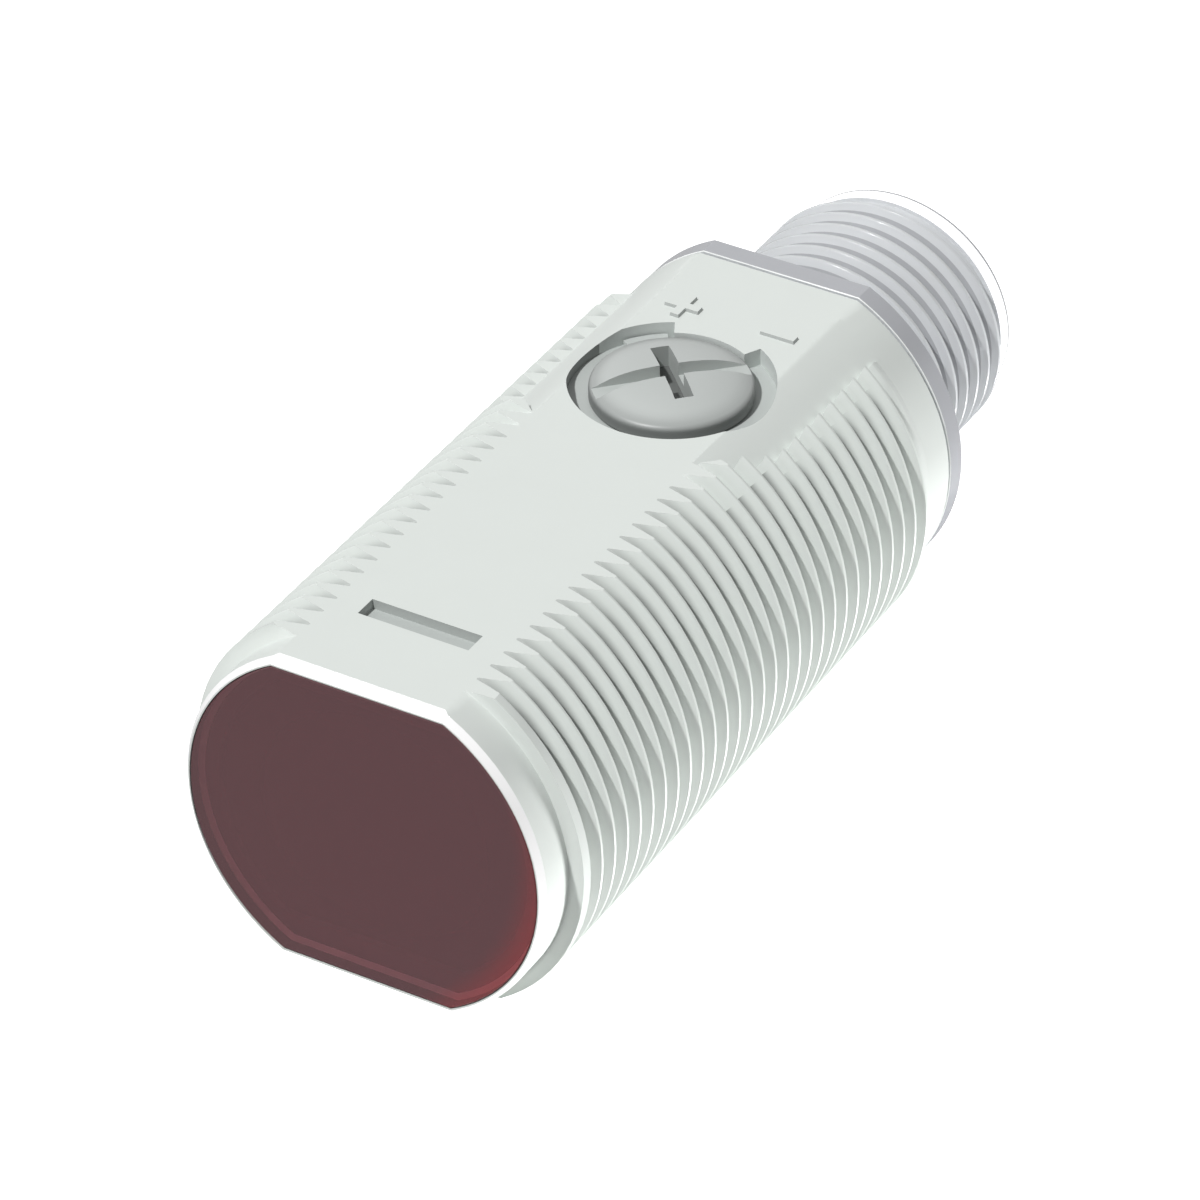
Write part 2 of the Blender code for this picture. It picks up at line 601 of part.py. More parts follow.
def build_optics(materials):
    """Model the holder, filter, lens, splitter, emitter and receiver."""
    outline = flatted_circle(BORE_R - GAP, BORE_HALF - GAP, ROUND_FACETS // 2)
    holder = make_object("optics_holder", prism_y(outline, HOLDER_FRONT_Y, HOLDER_REAR_Y),
                         materials["black"])
    seat_end = LENS_Y + LENS_THICK + GAP
    lens_seat = make_object("lens_seat", cylinder(LENS_R + GAP, HOLDER_FRONT_Y - REACH, seat_end,
                                                  ROUND_FACETS // 2))
    channel = make_object("light_channel", cylinder(CHANNEL_R, seat_end - SINK,
                                                    HOLDER_REAR_Y - REAR_WALL,
                                                    ROUND_FACETS // 2))
    emitter_hole = make_object("emitter_hole",
                               cylinder(EMITTER_R + GAP, HOLDER_REAR_Y - REAR_WALL - SINK,
                                        HOLDER_REAR_Y + REACH))
    side_r = math.hypot(DIODE_HALF, DIODE_HALF) + GAP
    diode_hole = make_object("receiver_hole",
                             cylinder(side_r, -BORE_HALF - REACH, 0.0, SMALL_FACETS, 'Z'),
                             location=(0.0, SPLITTER_Y, 0.0))
    cut(holder, lens_seat, channel, emitter_hole, diode_hole)

    make_object("polarising_filter", cylinder(LENS_R, FILTER_Y, FILTER_Y + FILTER_THICK,
                                              ROUND_FACETS // 2), materials["smoke"])

    profile = [(0.0, LENS_THICK)]
    for i in range(1, DOME_STEPS + 1):
        radius = LENS_R * i / DOME_STEPS
        profile.append((radius, LENS_THICK - (LENS_THICK - LENS_EDGE) * (radius / LENS_R) ** 2))
    profile += [(LENS_R, 0.0), (0.0, 0.0)]
    make_object("collimator_lens", turned(profile, ROUND_FACETS // 2, 'Y'), materials["clear"],
                (0.0, LENS_Y, 0.0), smooth=True)

    splitter = make_object("beam_splitter",
                           box((2 * SPLITTER_HALF_WIDTH, SPLITTER_THICK,
                                2 * SPLITTER_HALF_LENGTH)), materials["clear"],
                           (0.0, SPLITTER_Y, 0.0))
    splitter.rotation_euler = (math.radians(-45.0), 0.0, 0.0)

    tip = EMITTER_LENGTH
    profile = [(0.0, tip), (EMITTER_TIP_R, tip - EMITTER_TIP_DROP),
               (EMITTER_R, tip - EMITTER_DOME), (EMITTER_R, 0.0), (EMITTER_FLANGE_R, 0.0),
               (EMITTER_FLANGE_R, -EMITTER_FLANGE), (0.0, -EMITTER_FLANGE)]
    emitter = make_object("emitter_led", turned(profile, SMALL_FACETS, 'Y'), materials["red"],
                          (0.0, HOLDER_REAR_Y + GAP, 0.0), smooth=True)
    emitter.rotation_euler = (0.0, 0.0, math.pi)

    diode_z = -BORE_HALF + GAP + DIODE_THICK / 2 + GAP
    make_object("receiver_photodiode", box((2 * DIODE_HALF, 2 * DIODE_HALF, DIODE_THICK)),
                materials["black"], (0.0, SPLITTER_Y, diode_z))


def build_boards(materials):
    """Model both boards and the packages on them."""
    make_object("main_board", box((2 * BOARD_HALF_WIDTH, BOARD_LENGTH, BOARD_THICK)),
                materials["board"], (0.0, (BOARD_FRONT_Y + BOARD_REAR_Y) / 2, 0.0))

    front_row = KNOB_Y - TRIMMER_HALF + REGULATOR_SIZE[1] / 2
    packages = [("signal_chip", CHIP_SIZE, 0.0, CHIP_Y, 1, "black"),
                ("voltage_regulator", REGULATOR_SIZE, -PARTS_X, front_row, -1, "black"),
                ("filter_capacitor", CAPACITOR_SIZE, PARTS_X, front_row, -1, "tan"),
                ("output_transistor", TRANSISTOR_SIZE, -PARTS_X, CHIP_Y, -1, "black"),
                ("protection_diode", PROTECTION_SIZE, PARTS_X, CHIP_Y, -1, "black")]
    for name, size, x, y, side, finish in packages:
        z = side * (BOARD_TOP_Z + GAP + size[2] / 2)
        make_object(name, box(size), materials[finish], (x, y, z))

    end_outline = flatted_circle(SPIGOT_R - SPIGOT_WALL - GAP, SPIGOT_HALF - SPIGOT_WALL - GAP,
                                 ROUND_FACETS // 2)
    end_board = make_object("connector_board",
                            prism_y(end_outline, END_BOARD_FRONT_Y, END_BOARD_REAR_Y),
                            materials["board"])
    for i in range(PIN_COUNT):
        hole = make_object(f"board_pin_hole_{i + 1}",
                           cylinder(PIN_R + GAP, END_BOARD_FRONT_Y - REACH,
                                    END_BOARD_REAR_Y + REACH, PIN_FACETS), location=pin_place(i))
        cut(end_board, hole)

    led_y = END_BOARD_REAR_Y + SINK + LED_SIZE[1] / 2
    led_z = SPIGOT_HALF - SPIGOT_WALL - LOOSE_GAP - LED_SIZE[2] / 2
    make_object("power_led", box(LED_SIZE), materials["green"], (0.0, led_y, led_z))
    make_object("output_led", box(LED_SIZE), materials["yellow"], (0.0, led_y, -led_z))


def pin_place(index):
    """Return the place of one contact pin's axis."""
    angle = math.pi / 4 + 2 * math.pi * index / PIN_COUNT
    return (PIN_CIRCLE_R * math.cos(angle), 0.0, PIN_CIRCLE_R * math.sin(angle))


def build_plug(materials):
    """Model the plug body, its seal, contact carrier and pins."""
    root_at = FLANGE_REAR_Y + PLUG_NECK
    front = [(PLUG_ROOT_R, FLANGE_FRONT_Y + GAP), (PLUG_ROOT_R, root_at - PLUG_NECK / 2)]
    step_y = root_at + (PLUG_THREAD_TURNS + 0.5) * THREAD_PITCH + GAP
    rear = [(PLUG_ROOT_R, step_y), (PLUG_NOSE_R, step_y + SINK), (PLUG_NOSE_R, PLUG_END_Y)]
    barrel = threaded_barrel(PLUG_ROOT_R, PLUG_CREST_R, THREAD_PITCH, root_at,
                             PLUG_THREAD_TURNS, PLUG_FACETS, front, rear)
    plug = make_object("connector_body", barrel, materials["haze"])
    flange = prism_y(flatted_circle(FLANGE_R, FLAT_HALF, ROUND_FACETS), FLANGE_FRONT_Y,
                     FLANGE_REAR_Y)
    spigot = prism_y(flatted_circle(SPIGOT_R, SPIGOT_HALF, ROUND_FACETS), SPIGOT_FRONT_Y,
                     FLANGE_FRONT_Y + FLANGE_THICK / 2)
    add(plug, make_object("flange_tool", flange), make_object("spigot_tool", spigot))

    hollow = prism_y(flatted_circle(SPIGOT_R - SPIGOT_WALL, SPIGOT_HALF - SPIGOT_WALL,
                                    ROUND_FACETS // 2), SPIGOT_FRONT_Y - REACH, FLANGE_FRONT_Y)
    groove_front = SPIGOT_FRONT_Y + SEAL_GROOVE_INSET
    groove_rear = groove_front + SEAL_GROOVE
    groove = make_object("seal_groove",
                         prism_y(flatted_circle(SPIGOT_R + REACH, SPIGOT_HALF + REACH,
                                                ROUND_FACETS), groove_front, groove_rear))
    groove_core = make_object("seal_groove_core",
                              prism_y(flatted_circle(SPIGOT_R - SEAL_GROOVE_DEPTH,
                                                     SPIGOT_HALF - SEAL_GROOVE_DEPTH,
                                                     ROUND_FACETS), groove_front - REACH,
                                      groove_rear + REACH))
    cut(groove, groove_core)
    socket = make_object("socket_cutter",
                         cylinder(SOCKET_R, FLANGE_FRONT_Y - SINK, PLUG_END_Y + REACH,
                                  ROUND_FACETS // 2))
    lip_r = SOCKET_R + CARRIER_LIP
    lip_rear = FLANGE_FRONT_Y + CARRIER_LIP_THICK
    lip_seat = make_object("lip_seat_cutter",
                           cylinder(lip_r + GAP, FLANGE_FRONT_Y - SINK, lip_rear + GAP,
                                    ROUND_FACETS // 2))
    cut(plug, make_object("spigot_hollow", hollow), groove, socket, lip_seat)

    carrier_end = FLANGE_FRONT_Y + CARRIER_LENGTH
    key_front = carrier_end + LOOSE_GAP
    key_rear = PLUG_END_Y - PIN_RECESS / 2
    key = make_object("key_tool",
                      box((KEY_WIDTH, key_rear - key_front, KEY_HEIGHT + LOOSE_GAP),
                          (0.0, (key_front + key_rear) / 2,
                           SOCKET_R - KEY_HEIGHT / 2 + LOOSE_GAP / 2)))
    add(plug, key)

    seal = make_object("rear_seal",
                       prism_y(flatted_circle(BORE_R - SINK, BORE_HALF - SINK, ROUND_FACETS // 2),
                               groove_front + GAP, groove_rear - GAP), materials["rubber"])
    seal_hole = make_object("rear_seal_hole",
                            prism_y(flatted_circle(SPIGOT_R - SEAL_GROOVE_DEPTH + SINK,
                                                   SPIGOT_HALF - SEAL_GROOVE_DEPTH + SINK,
                                                   ROUND_FACETS), groove_front - REACH,
                                    groove_rear + REACH))
    cut(seal, seal_hole)

    nose_r = SOCKET_R - GAP
    profile = [(0.0, FLANGE_FRONT_Y), (lip_r, FLANGE_FRONT_Y), (lip_r, lip_rear),
               (nose_r, lip_rear), (nose_r, carrier_end), (0.0, carrier_end)]
    carrier = make_object("contact_carrier", turned(profile, ROUND_FACETS // 2, 'Y'),
                          materials["black"])
    pin_front = END_BOARD_FRONT_Y - LOOSE_GAP
    pin_rear = PLUG_END_Y - PIN_RECESS
    for i in range(PIN_COUNT):
        hole = make_object(f"carrier_hole_{i + 1}",
                           cylinder(PIN_R + SINK, FLANGE_FRONT_Y - REACH,
                                    carrier_end + REACH, PIN_FACETS), location=pin_place(i))
        cut(carrier, hole)
        profile = [(0.0, pin_front), (PIN_R, pin_front), (PIN_R, pin_rear - PIN_R),
                   (PIN_TIP_R, pin_rear - PIN_TIP_DROP), (0.0, pin_rear)]
        make_object(f"contact_pin_{i + 1}", turned(profile, PIN_FACETS, 'Y'), materials["gold"],
                    pin_place(i), smooth=True)


def main():
    """Build every piece of the sensor."""
    clear_scene()
    materials = {
        "shell": make_material("light_grey_plastic", (0.72, 0.76, 0.74), 0.38),
        "window": make_material("dark_red_acrylic", (0.13, 0.03, 0.035), 0.12),
        "haze": make_material("hazy_clear_plastic", (0.62, 0.62, 0.67), 0.2, 0.0, 0.4),
        "black": make_material("black_plastic", (0.02, 0.02, 0.022), 0.45),
        "smoke": make_material("polarising_film", (0.18, 0.17, 0.16), 0.2),
        "clear": make_material("clear_acrylic", (0.85, 0.87, 0.87), 0.05, 0.0, 0.9),
        "red": make_material("red_diffused_epoxy", (0.7, 0.05, 0.04), 0.2),
        "green": make_material("green_diffused_epoxy", (0.1, 0.6, 0.15), 0.2),
        "yellow": make_material("yellow_diffused_epoxy", (0.85, 0.65, 0.08), 0.2),
        "board": make_material("glass_epoxy_board", (0.03, 0.2, 0.08), 0.4),
        "tan": make_material("ceramic_package", (0.55, 0.42, 0.28), 0.5),
        "blue": make_material("blue_trimmer_plastic", (0.05, 0.16, 0.45), 0.4),
        "white": make_material("white_rotor_plastic", (0.85, 0.85, 0.83), 0.4),
        "rubber": make_material("black_seal_rubber", (0.03, 0.03, 0.03), 0.75),
        "gold": make_material("gold_plated_brass", (0.83, 0.64, 0.28), 0.25, 1.0),
    }
    build_housing(materials["shell"])
    build_window(materials["window"])
    build_knob(materials["shell"])
    build_adjuster_seal(materials["rubber"])
    build_trimmer(materials["blue"], materials["white"])
    build_optics(materials)
    build_boards(materials)
    build_plug(materials)


main()
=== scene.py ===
"""Looks of the transparent object sensor: an M18 light barrel with an M12 plug.

Lengths in this script are millimetres in the part's own frame: the origin is the
middle of the window's outer face, +Y runs to the plug and +Z out of the flat with
the adjuster. MM turns them into Blender's metres when a mesh is made. Angles round
the barrel are degrees from +Z towards +X.
"""

import json
import logging
from collections.abc import Sequence
from dataclasses import dataclass
from enum import Enum
from functools import cache

import bmesh
import bpy
import numpy as np
from mathutils import Matrix, Vector
from numpy.typing import NDArray

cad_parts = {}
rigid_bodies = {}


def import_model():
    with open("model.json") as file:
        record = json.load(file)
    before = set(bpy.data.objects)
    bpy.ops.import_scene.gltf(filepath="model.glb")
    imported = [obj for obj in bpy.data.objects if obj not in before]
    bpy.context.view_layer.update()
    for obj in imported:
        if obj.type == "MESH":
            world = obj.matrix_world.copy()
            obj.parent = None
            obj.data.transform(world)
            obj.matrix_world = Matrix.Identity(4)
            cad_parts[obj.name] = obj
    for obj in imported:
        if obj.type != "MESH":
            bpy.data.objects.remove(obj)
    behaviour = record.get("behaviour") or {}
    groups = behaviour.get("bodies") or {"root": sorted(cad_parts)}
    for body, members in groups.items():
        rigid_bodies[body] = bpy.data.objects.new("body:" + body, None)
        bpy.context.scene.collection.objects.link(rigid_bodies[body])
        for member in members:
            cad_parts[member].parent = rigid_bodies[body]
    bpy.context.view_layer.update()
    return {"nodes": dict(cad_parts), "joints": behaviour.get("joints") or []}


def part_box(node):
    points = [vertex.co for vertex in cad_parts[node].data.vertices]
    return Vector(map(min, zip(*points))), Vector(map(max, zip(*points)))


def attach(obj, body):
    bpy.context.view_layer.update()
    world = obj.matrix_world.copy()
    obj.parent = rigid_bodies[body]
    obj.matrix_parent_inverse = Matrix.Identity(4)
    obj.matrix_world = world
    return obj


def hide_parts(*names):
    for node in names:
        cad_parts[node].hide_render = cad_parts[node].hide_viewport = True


MM = 0.001
LOG = logging.getLogger("sensor")
FACETS = 96  # Flats round a fine circle
TOUCH = 0.01  # A face this near to a plane, in millimetres, counts as on it
UPRIGHT = 0.2  # The largest share of Z in an upright face's normal
SLANTED = 0.3  # The least share of Y in the normal of a face that is no side

Array = NDArray[np.float64]
Colour = tuple[float, float, float]
Piece = bpy.types.Object
Material = bpy.types.Material
Tree = bpy.types.NodeTree
Node = bpy.types.Node
Outputs = bpy.types.NodeOutputs
Socket = bpy.types.NodeSocket
Value = float | Sequence[float] | Socket


class Axis(Enum):
    """The axis that a turned or extruded shape follows."""

    Y = "y"
    Z = "z"


class Joining(Enum):
    """How a tool changes the piece that it is applied to."""

    REMOVE = "DIFFERENCE"
    ADD = "UNION"


class Body(Enum):
    """The two bodies of the part: what stays still and what the adjuster turns."""

    SENSOR = "sensor"
    ADJUSTER = "adjuster"


@dataclass
class Shape:
    """A closed surface, as corner points in millimetres and faces of point numbers."""

    points: Array
    faces: list[list[int]]

    def moved(self, x: float = 0.0, y: float = 0.0, z: float = 0.0) -> "Shape":
        """Return the shape carried along by x, y and z."""
        return Shape(self.points + np.array([x, y, z]), self.faces)

    def turned_about_z(self, degrees: float) -> "Shape":
        """Return the shape turned about the Z axis, anticlockwise from above."""
        angle = np.radians(degrees)
        turn = np.array([[np.cos(angle), np.sin(angle), 0.0],
                         [-np.sin(angle), np.cos(angle), 0.0], [0.0, 0.0, 1.0]])
        return Shape(self.points @ turn, self.faces)

    def object(self, name: str) -> Piece:
        """Make a Blender object of the shape, with its faces turned outwards.

        Args:
            name: The object's name.

        Returns:
            The object, at the origin, linked to the scene.
        """
        mesh = bpy.data.meshes.new(name)
        mesh.from_pydata(self.points * MM, [], self.faces)
        cleaner = bmesh.new()
        cleaner.from_mesh(mesh)
        bmesh.ops.recalc_face_normals(cleaner, faces=cleaner.faces)
        cleaner.to_mesh(mesh)
        cleaner.free()
        made = bpy.data.objects.new(name, mesh)
        bpy.context.scene.collection.objects.link(made)
        return made


def quads(numbers: NDArray[np.int64]) -> list[list[int]]:
    """Return the four-sided faces between the neighbours of a grid of point numbers."""
    corners = (numbers[:-1, :-1], numbers[:-1, 1:], numbers[1:, 1:], numbers[1:, :-1])
    return np.stack(corners, axis=-1).reshape(-1, 4).tolist()


def fan(centre: int, edge: list[int]) -> list[list[int]]:
    """Return the triangles from one point number to each pair along an edge."""
    return [[centre, one, other] for one, other in zip(edge[:-1], edge[1:])]


def sweep(rings: Array) -> Shape:
    """Join closed rings one after the other and cap the two ends.

    Args:
        rings: Points as (ring, place round the ring, xyz).

    Returns:
        The closed shape.
    """
    count, around = rings.shape[:2]
    numbers = np.arange(count * around).reshape(count, around)
    faces = quads(np.hstack([numbers, numbers[:, :1]]))
    faces += [numbers[0].tolist(), numbers[-1].tolist()]
    return Shape(rings.reshape(-1, 3), faces)


def ring(outline: Array, height: float, axis: Axis) -> Array:
    """Return a flat outline as 3-D points at a height on an axis."""
    level = np.full(len(outline), height)
    if axis is Axis.Y:
        return np.column_stack([outline[:, 0], level, outline[:, 1]])
    return np.column_stack([outline, level])


def prism(outline: Array, low: float, high: float, axis: Axis) -> Shape:
    """Extrude an outline between two heights on an axis."""
    return sweep(np.stack([ring(outline, low, axis), ring(outline, high, axis)]))


def lathe(profile: list[tuple[float, float]], facets: int, axis: Axis) -> Shape:
    """Turn a profile about an axis.

    A point at (radius, height) becomes radius * (cos a, sin a) at that height, with
    a running round the circle. The profile's first and last points are the poles.

    Args:
        profile: (radius, height) pairs from pole to pole.
        facets: How many flats go round.
        axis: The axis to turn about.

    Returns:
        The closed shape.
    """
    radius, height = np.array(profile).T
    angle = np.linspace(0.0, 2 * np.pi, facets, endpoint=False)
    across = np.stack([radius[1:-1, None] * np.cos(angle), radius[1:-1, None] * np.sin(angle)])
    level = np.broadcast_to(height[1:-1, None], across[0].shape)
    order = (across[0], level, across[1]) if axis is Axis.Y else (across[0], across[1], level)
    walls = np.stack(order, axis=-1).reshape(-1, 3)
    poles = np.zeros((2, 3))
    poles[:, 1 if axis is Axis.Y else 2] = height[[0, -1]]
    numbers = np.arange(len(walls)).reshape(-1, facets)
    closed = np.hstack([numbers, numbers[:, :1]])
    faces = quads(closed)
    for pole, row in ((len(walls), closed[0]), (len(walls) + 1, closed[-1])):
        tip = np.full(facets, pole)
        faces += np.column_stack([tip, row[:-1], row[1:]]).tolist()
    return Shape(np.vstack([walls, poles]), faces)


def arc(radius: float, start: float, end: float, steps: int) -> Array:
    """Return points radius * (sin a, cos a), with a from start to end degrees."""
    angle = np.radians(np.linspace(start, end, steps + 1))
    return radius * np.column_stack([np.sin(angle), np.cos(angle)])


def flatted_circle(radius: float, half: float, facets: int) -> Array:
    """Return a circle's outline with flats at the second coordinate's +half and -half."""
    edge = np.degrees(np.arccos(half / radius))
    side = arc(radius, edge, 180.0 - edge, facets // 2)
    return np.vstack([side, -side])


def flatted_steps(radius: float, half: float, steps: list[tuple[float, float]]) -> Shape:
    """Return a flatted disc along Y, by (inset, y) for each of its outlines."""
    return sweep(np.stack([ring(flatted_circle(radius - inset, half - inset, FACETS), y, Axis.Y)
                           for inset, y in steps]))


def flatted_prism(radius: float, half: float, low: float, high: float,
                  facets: int = FACETS) -> Shape:
    """Extrude a flatted circle along Y."""
    return prism(flatted_circle(radius, half, facets), low, high, Axis.Y)


def disc(radius: float, low: float, high: float, facets: int, axis: Axis) -> Shape:
    """Return a round prism along an axis."""
    return prism(arc(radius, 0.0, 360.0, facets)[:-1], low, high, axis)


def rectangle(half_x: float, half_y: float) -> Array:
    """Return a rectangle's four corners about the origin."""
    return np.array([[-half_x, -half_y], [half_x, -half_y], [half_x, half_y],
                     [-half_x, half_y]])


def cross(span: float, arm: float) -> Array:
    """Return the twelve corners of a plus mark."""
    s, a = span / 2, arm / 2
    quarter = np.array([[a, -s], [a, -a], [s, -a]])
    turn = np.array([[0.0, 1.0], [-1.0, 0.0]])
    return np.vstack([quarter @ np.linalg.matrix_power(turn, step) for step in range(4)])


@dataclass(frozen=True)
class ThreadForm:
    """The section of a right-hand thread, with rounded crests and roots."""

    root_r: float
    crest_r: float
    crest_flat: float
    root_flat: float
    rounding: float
    pitch: float = 1.0
    flank_share: float = 0.5
    round_steps: int = 3
    wall_slope: float = 0.12
    wall_end: float = 0.08

    def section(self) -> tuple[Array, Array]:
        """Return one pitch, from root to root, as places along the axis and radii there.

        The ridge is a trapezium: a crest flat, two straight flanks and a root flat.
        Each corner is an arc of the rounding's radius that touches both its sides, and
        each flank has one more point at the flank share of the way from crest to root.
        """
        half_crest = self.crest_flat / 2
        half_root = (self.pitch - self.root_flat) / 2
        depth = self.crest_r - self.root_r
        slope = np.arctan2(depth, half_root - half_crest)
        reach = self.rounding * np.tan(slope / 2)
        angle = np.linspace(0.0, slope, self.round_steps + 1)
        crest_place = half_crest - reach + self.rounding * np.sin(angle)
        crest_radius = self.crest_r - self.rounding * (1 - np.cos(angle))
        root_place = half_root + reach - self.rounding * np.sin(angle[::-1])
        root_radius = self.root_r + self.rounding * (1 - np.cos(angle[::-1]))
        share = self.flank_share
        flank_place = (1 - share) * crest_place[-1] + share * root_place[0]
        flank_radius = (1 - share) * crest_radius[-1] + share * root_radius[0]
        place = np.concatenate([crest_place, [flank_place], root_place])
        radius = np.concatenate([crest_radius, [flank_radius], root_radius])
        middle = self.pitch / 2
        mirrored = np.concatenate([middle - place[::-1], middle + place])
        return mirrored, np.concatenate([radius[::-1], radius])

    def barrel(self, start: float, turns: float, run_in: float, run_out: float, facets: int,
               front: list[tuple[float, float]], rear: list[tuple[float, float]],
               shoulder: float = np.inf) -> Shape:
        """Return a solid barrel about +Y with the thread between two plain ends.

        The point at turn t and section place p lies at y = start + pitch * t + p, at
        the angle 360 * t from the underside. Its height over the root grows from 0
        over the first run_in of a turn and shrinks over the last run_out. In the first
        turn the front half of the ridge lies no further back than shoulder plus the
        wall slope times p, which is let go over the last wall_end of that turn.

        Args:
            start: Where the ridge begins, on the underside.
            turns: How many turns the ridge makes.
            run_in: The share of a turn over which the ridge rises.
            run_out: The share of a turn over which it sinks again.
            facets: How many flats go round.
            front: (radius, y) rings before the thread, the first one the end face.
            rear: (radius, y) rings after the thread, the last one the end face.
            shoulder: Where the first ridge's front wall stands, if before the ridge.

        Returns:
            The closed shape.
        """
        place, radius = self.section()
        steps = len(place)
        columns = round(turns * facets)
        turn = np.arange(columns + 1) / facets
        rise = np.clip(np.minimum(turn / run_in, (turn[-1] - turn) / run_out), 0.0, 1.0)
        spread = self.root_r + rise[:, None] * (radius - self.root_r)
        along = start + self.pitch * turn[:, None] + place
        early = np.clip((1.0 - turn) / self.wall_end, 0.0, 1.0)[:, None] * (
            place < self.pitch / 2)
        along += early * np.minimum(shoulder + self.wall_slope * place - along, 0.0)
        angle = (2 * np.pi * turn - np.pi)[:, None]
        ridge = np.stack([spread * np.sin(angle), along, spread * np.cos(angle)], axis=-1)
        numbers = np.arange(ridge.size // 3).reshape(columns + 1, steps)
        last_turn = columns - facets
        faces = quads(numbers)
        faces += quads(np.hstack([numbers[:last_turn + 1, -1:], numbers[facets:, :1]]))

        ends = []
        shapes = [ridge.reshape(-1, 3)]
        used = numbers.size
        for profile, first_column in ((front, 0), (rear, columns)):
            round_it = 2 * np.pi * (first_column + np.arange(facets)) / facets - np.pi
            rings = np.array([[(r * np.sin(a), y, r * np.cos(a)) for a in round_it]
                              for r, y in profile])
            shapes.append(rings.reshape(-1, 3))
            ends.append(used + np.arange(len(profile) * facets).reshape(-1, facets))
            used += len(profile) * facets
        for end in ends:
            faces += quads(np.hstack([end, end[:, :1]]))
        faces += [ends[0][0].tolist(), ends[1][-1].tolist()]

        low = ends[0][-1]
        first = numbers[:facets + 1, 0]
        faces += quads(np.stack([low, first[:-1]]))
        faces += fan(low[-1], [low[0], *numbers[0], first[facets], first[facets - 1]])
        high = ends[1][0]
        final = numbers[last_turn:, -1]
        faces += quads(np.stack([final[1:-1], high[1:]]))
        faces.append([final[-2], final[-1], high[0], high[-1]])
        faces += fan(high[1], [high[0], *numbers[-1][::-1], final[0], final[1]])
        return Shape(np.vstack(shapes), [[int(n) for n in face] for face in faces])


def carve(piece: Piece, joining: Joining, *tools: Shape | Piece) -> None:
    """Apply exact Boolean tools to a piece and keep the resulting mesh.

    Args:
        piece: The object that changes.
        joining: Whether the tools are taken away or added.
        tools: Shapes, or objects made already, which are used up.
    """
    spent = []
    for tool in tools:
        cutter = tool.object("tool") if isinstance(tool, Shape) else tool
        modifier = piece.modifiers.new("tool", "BOOLEAN")
        modifier.operation = joining.value
        modifier.solver = "EXACT"
        modifier.object = cutter
        spent.append(cutter)
    graph = bpy.context.evaluated_depsgraph_get()
    carved = bpy.data.meshes.new_from_object(piece.evaluated_get(graph))
    before = piece.data
    piece.modifiers.clear()
    piece.data = carved
    bpy.data.meshes.remove(before)
    carved.name = piece.name
    for cutter in spent:
        mesh = cutter.data
        bpy.data.objects.remove(cutter)
        bpy.data.meshes.remove(mesh)


@dataclass(frozen=True)
class Grain:
    """A surface's fine unevenness.

    The size and the height are in millimetres. The tint is the largest change of
    brightness, as a share, and the shine the largest change of roughness. The clouds
    of tint and shine have their scale as a share of the grain's.
    """

    size: float = 0.12
    height: float = 0.0012
    tint: float = 0.012
    shine: float = 0.03
    detail: float = 3.0
    cloud_share: float = 0.06
    cloud_detail: float = 2.0


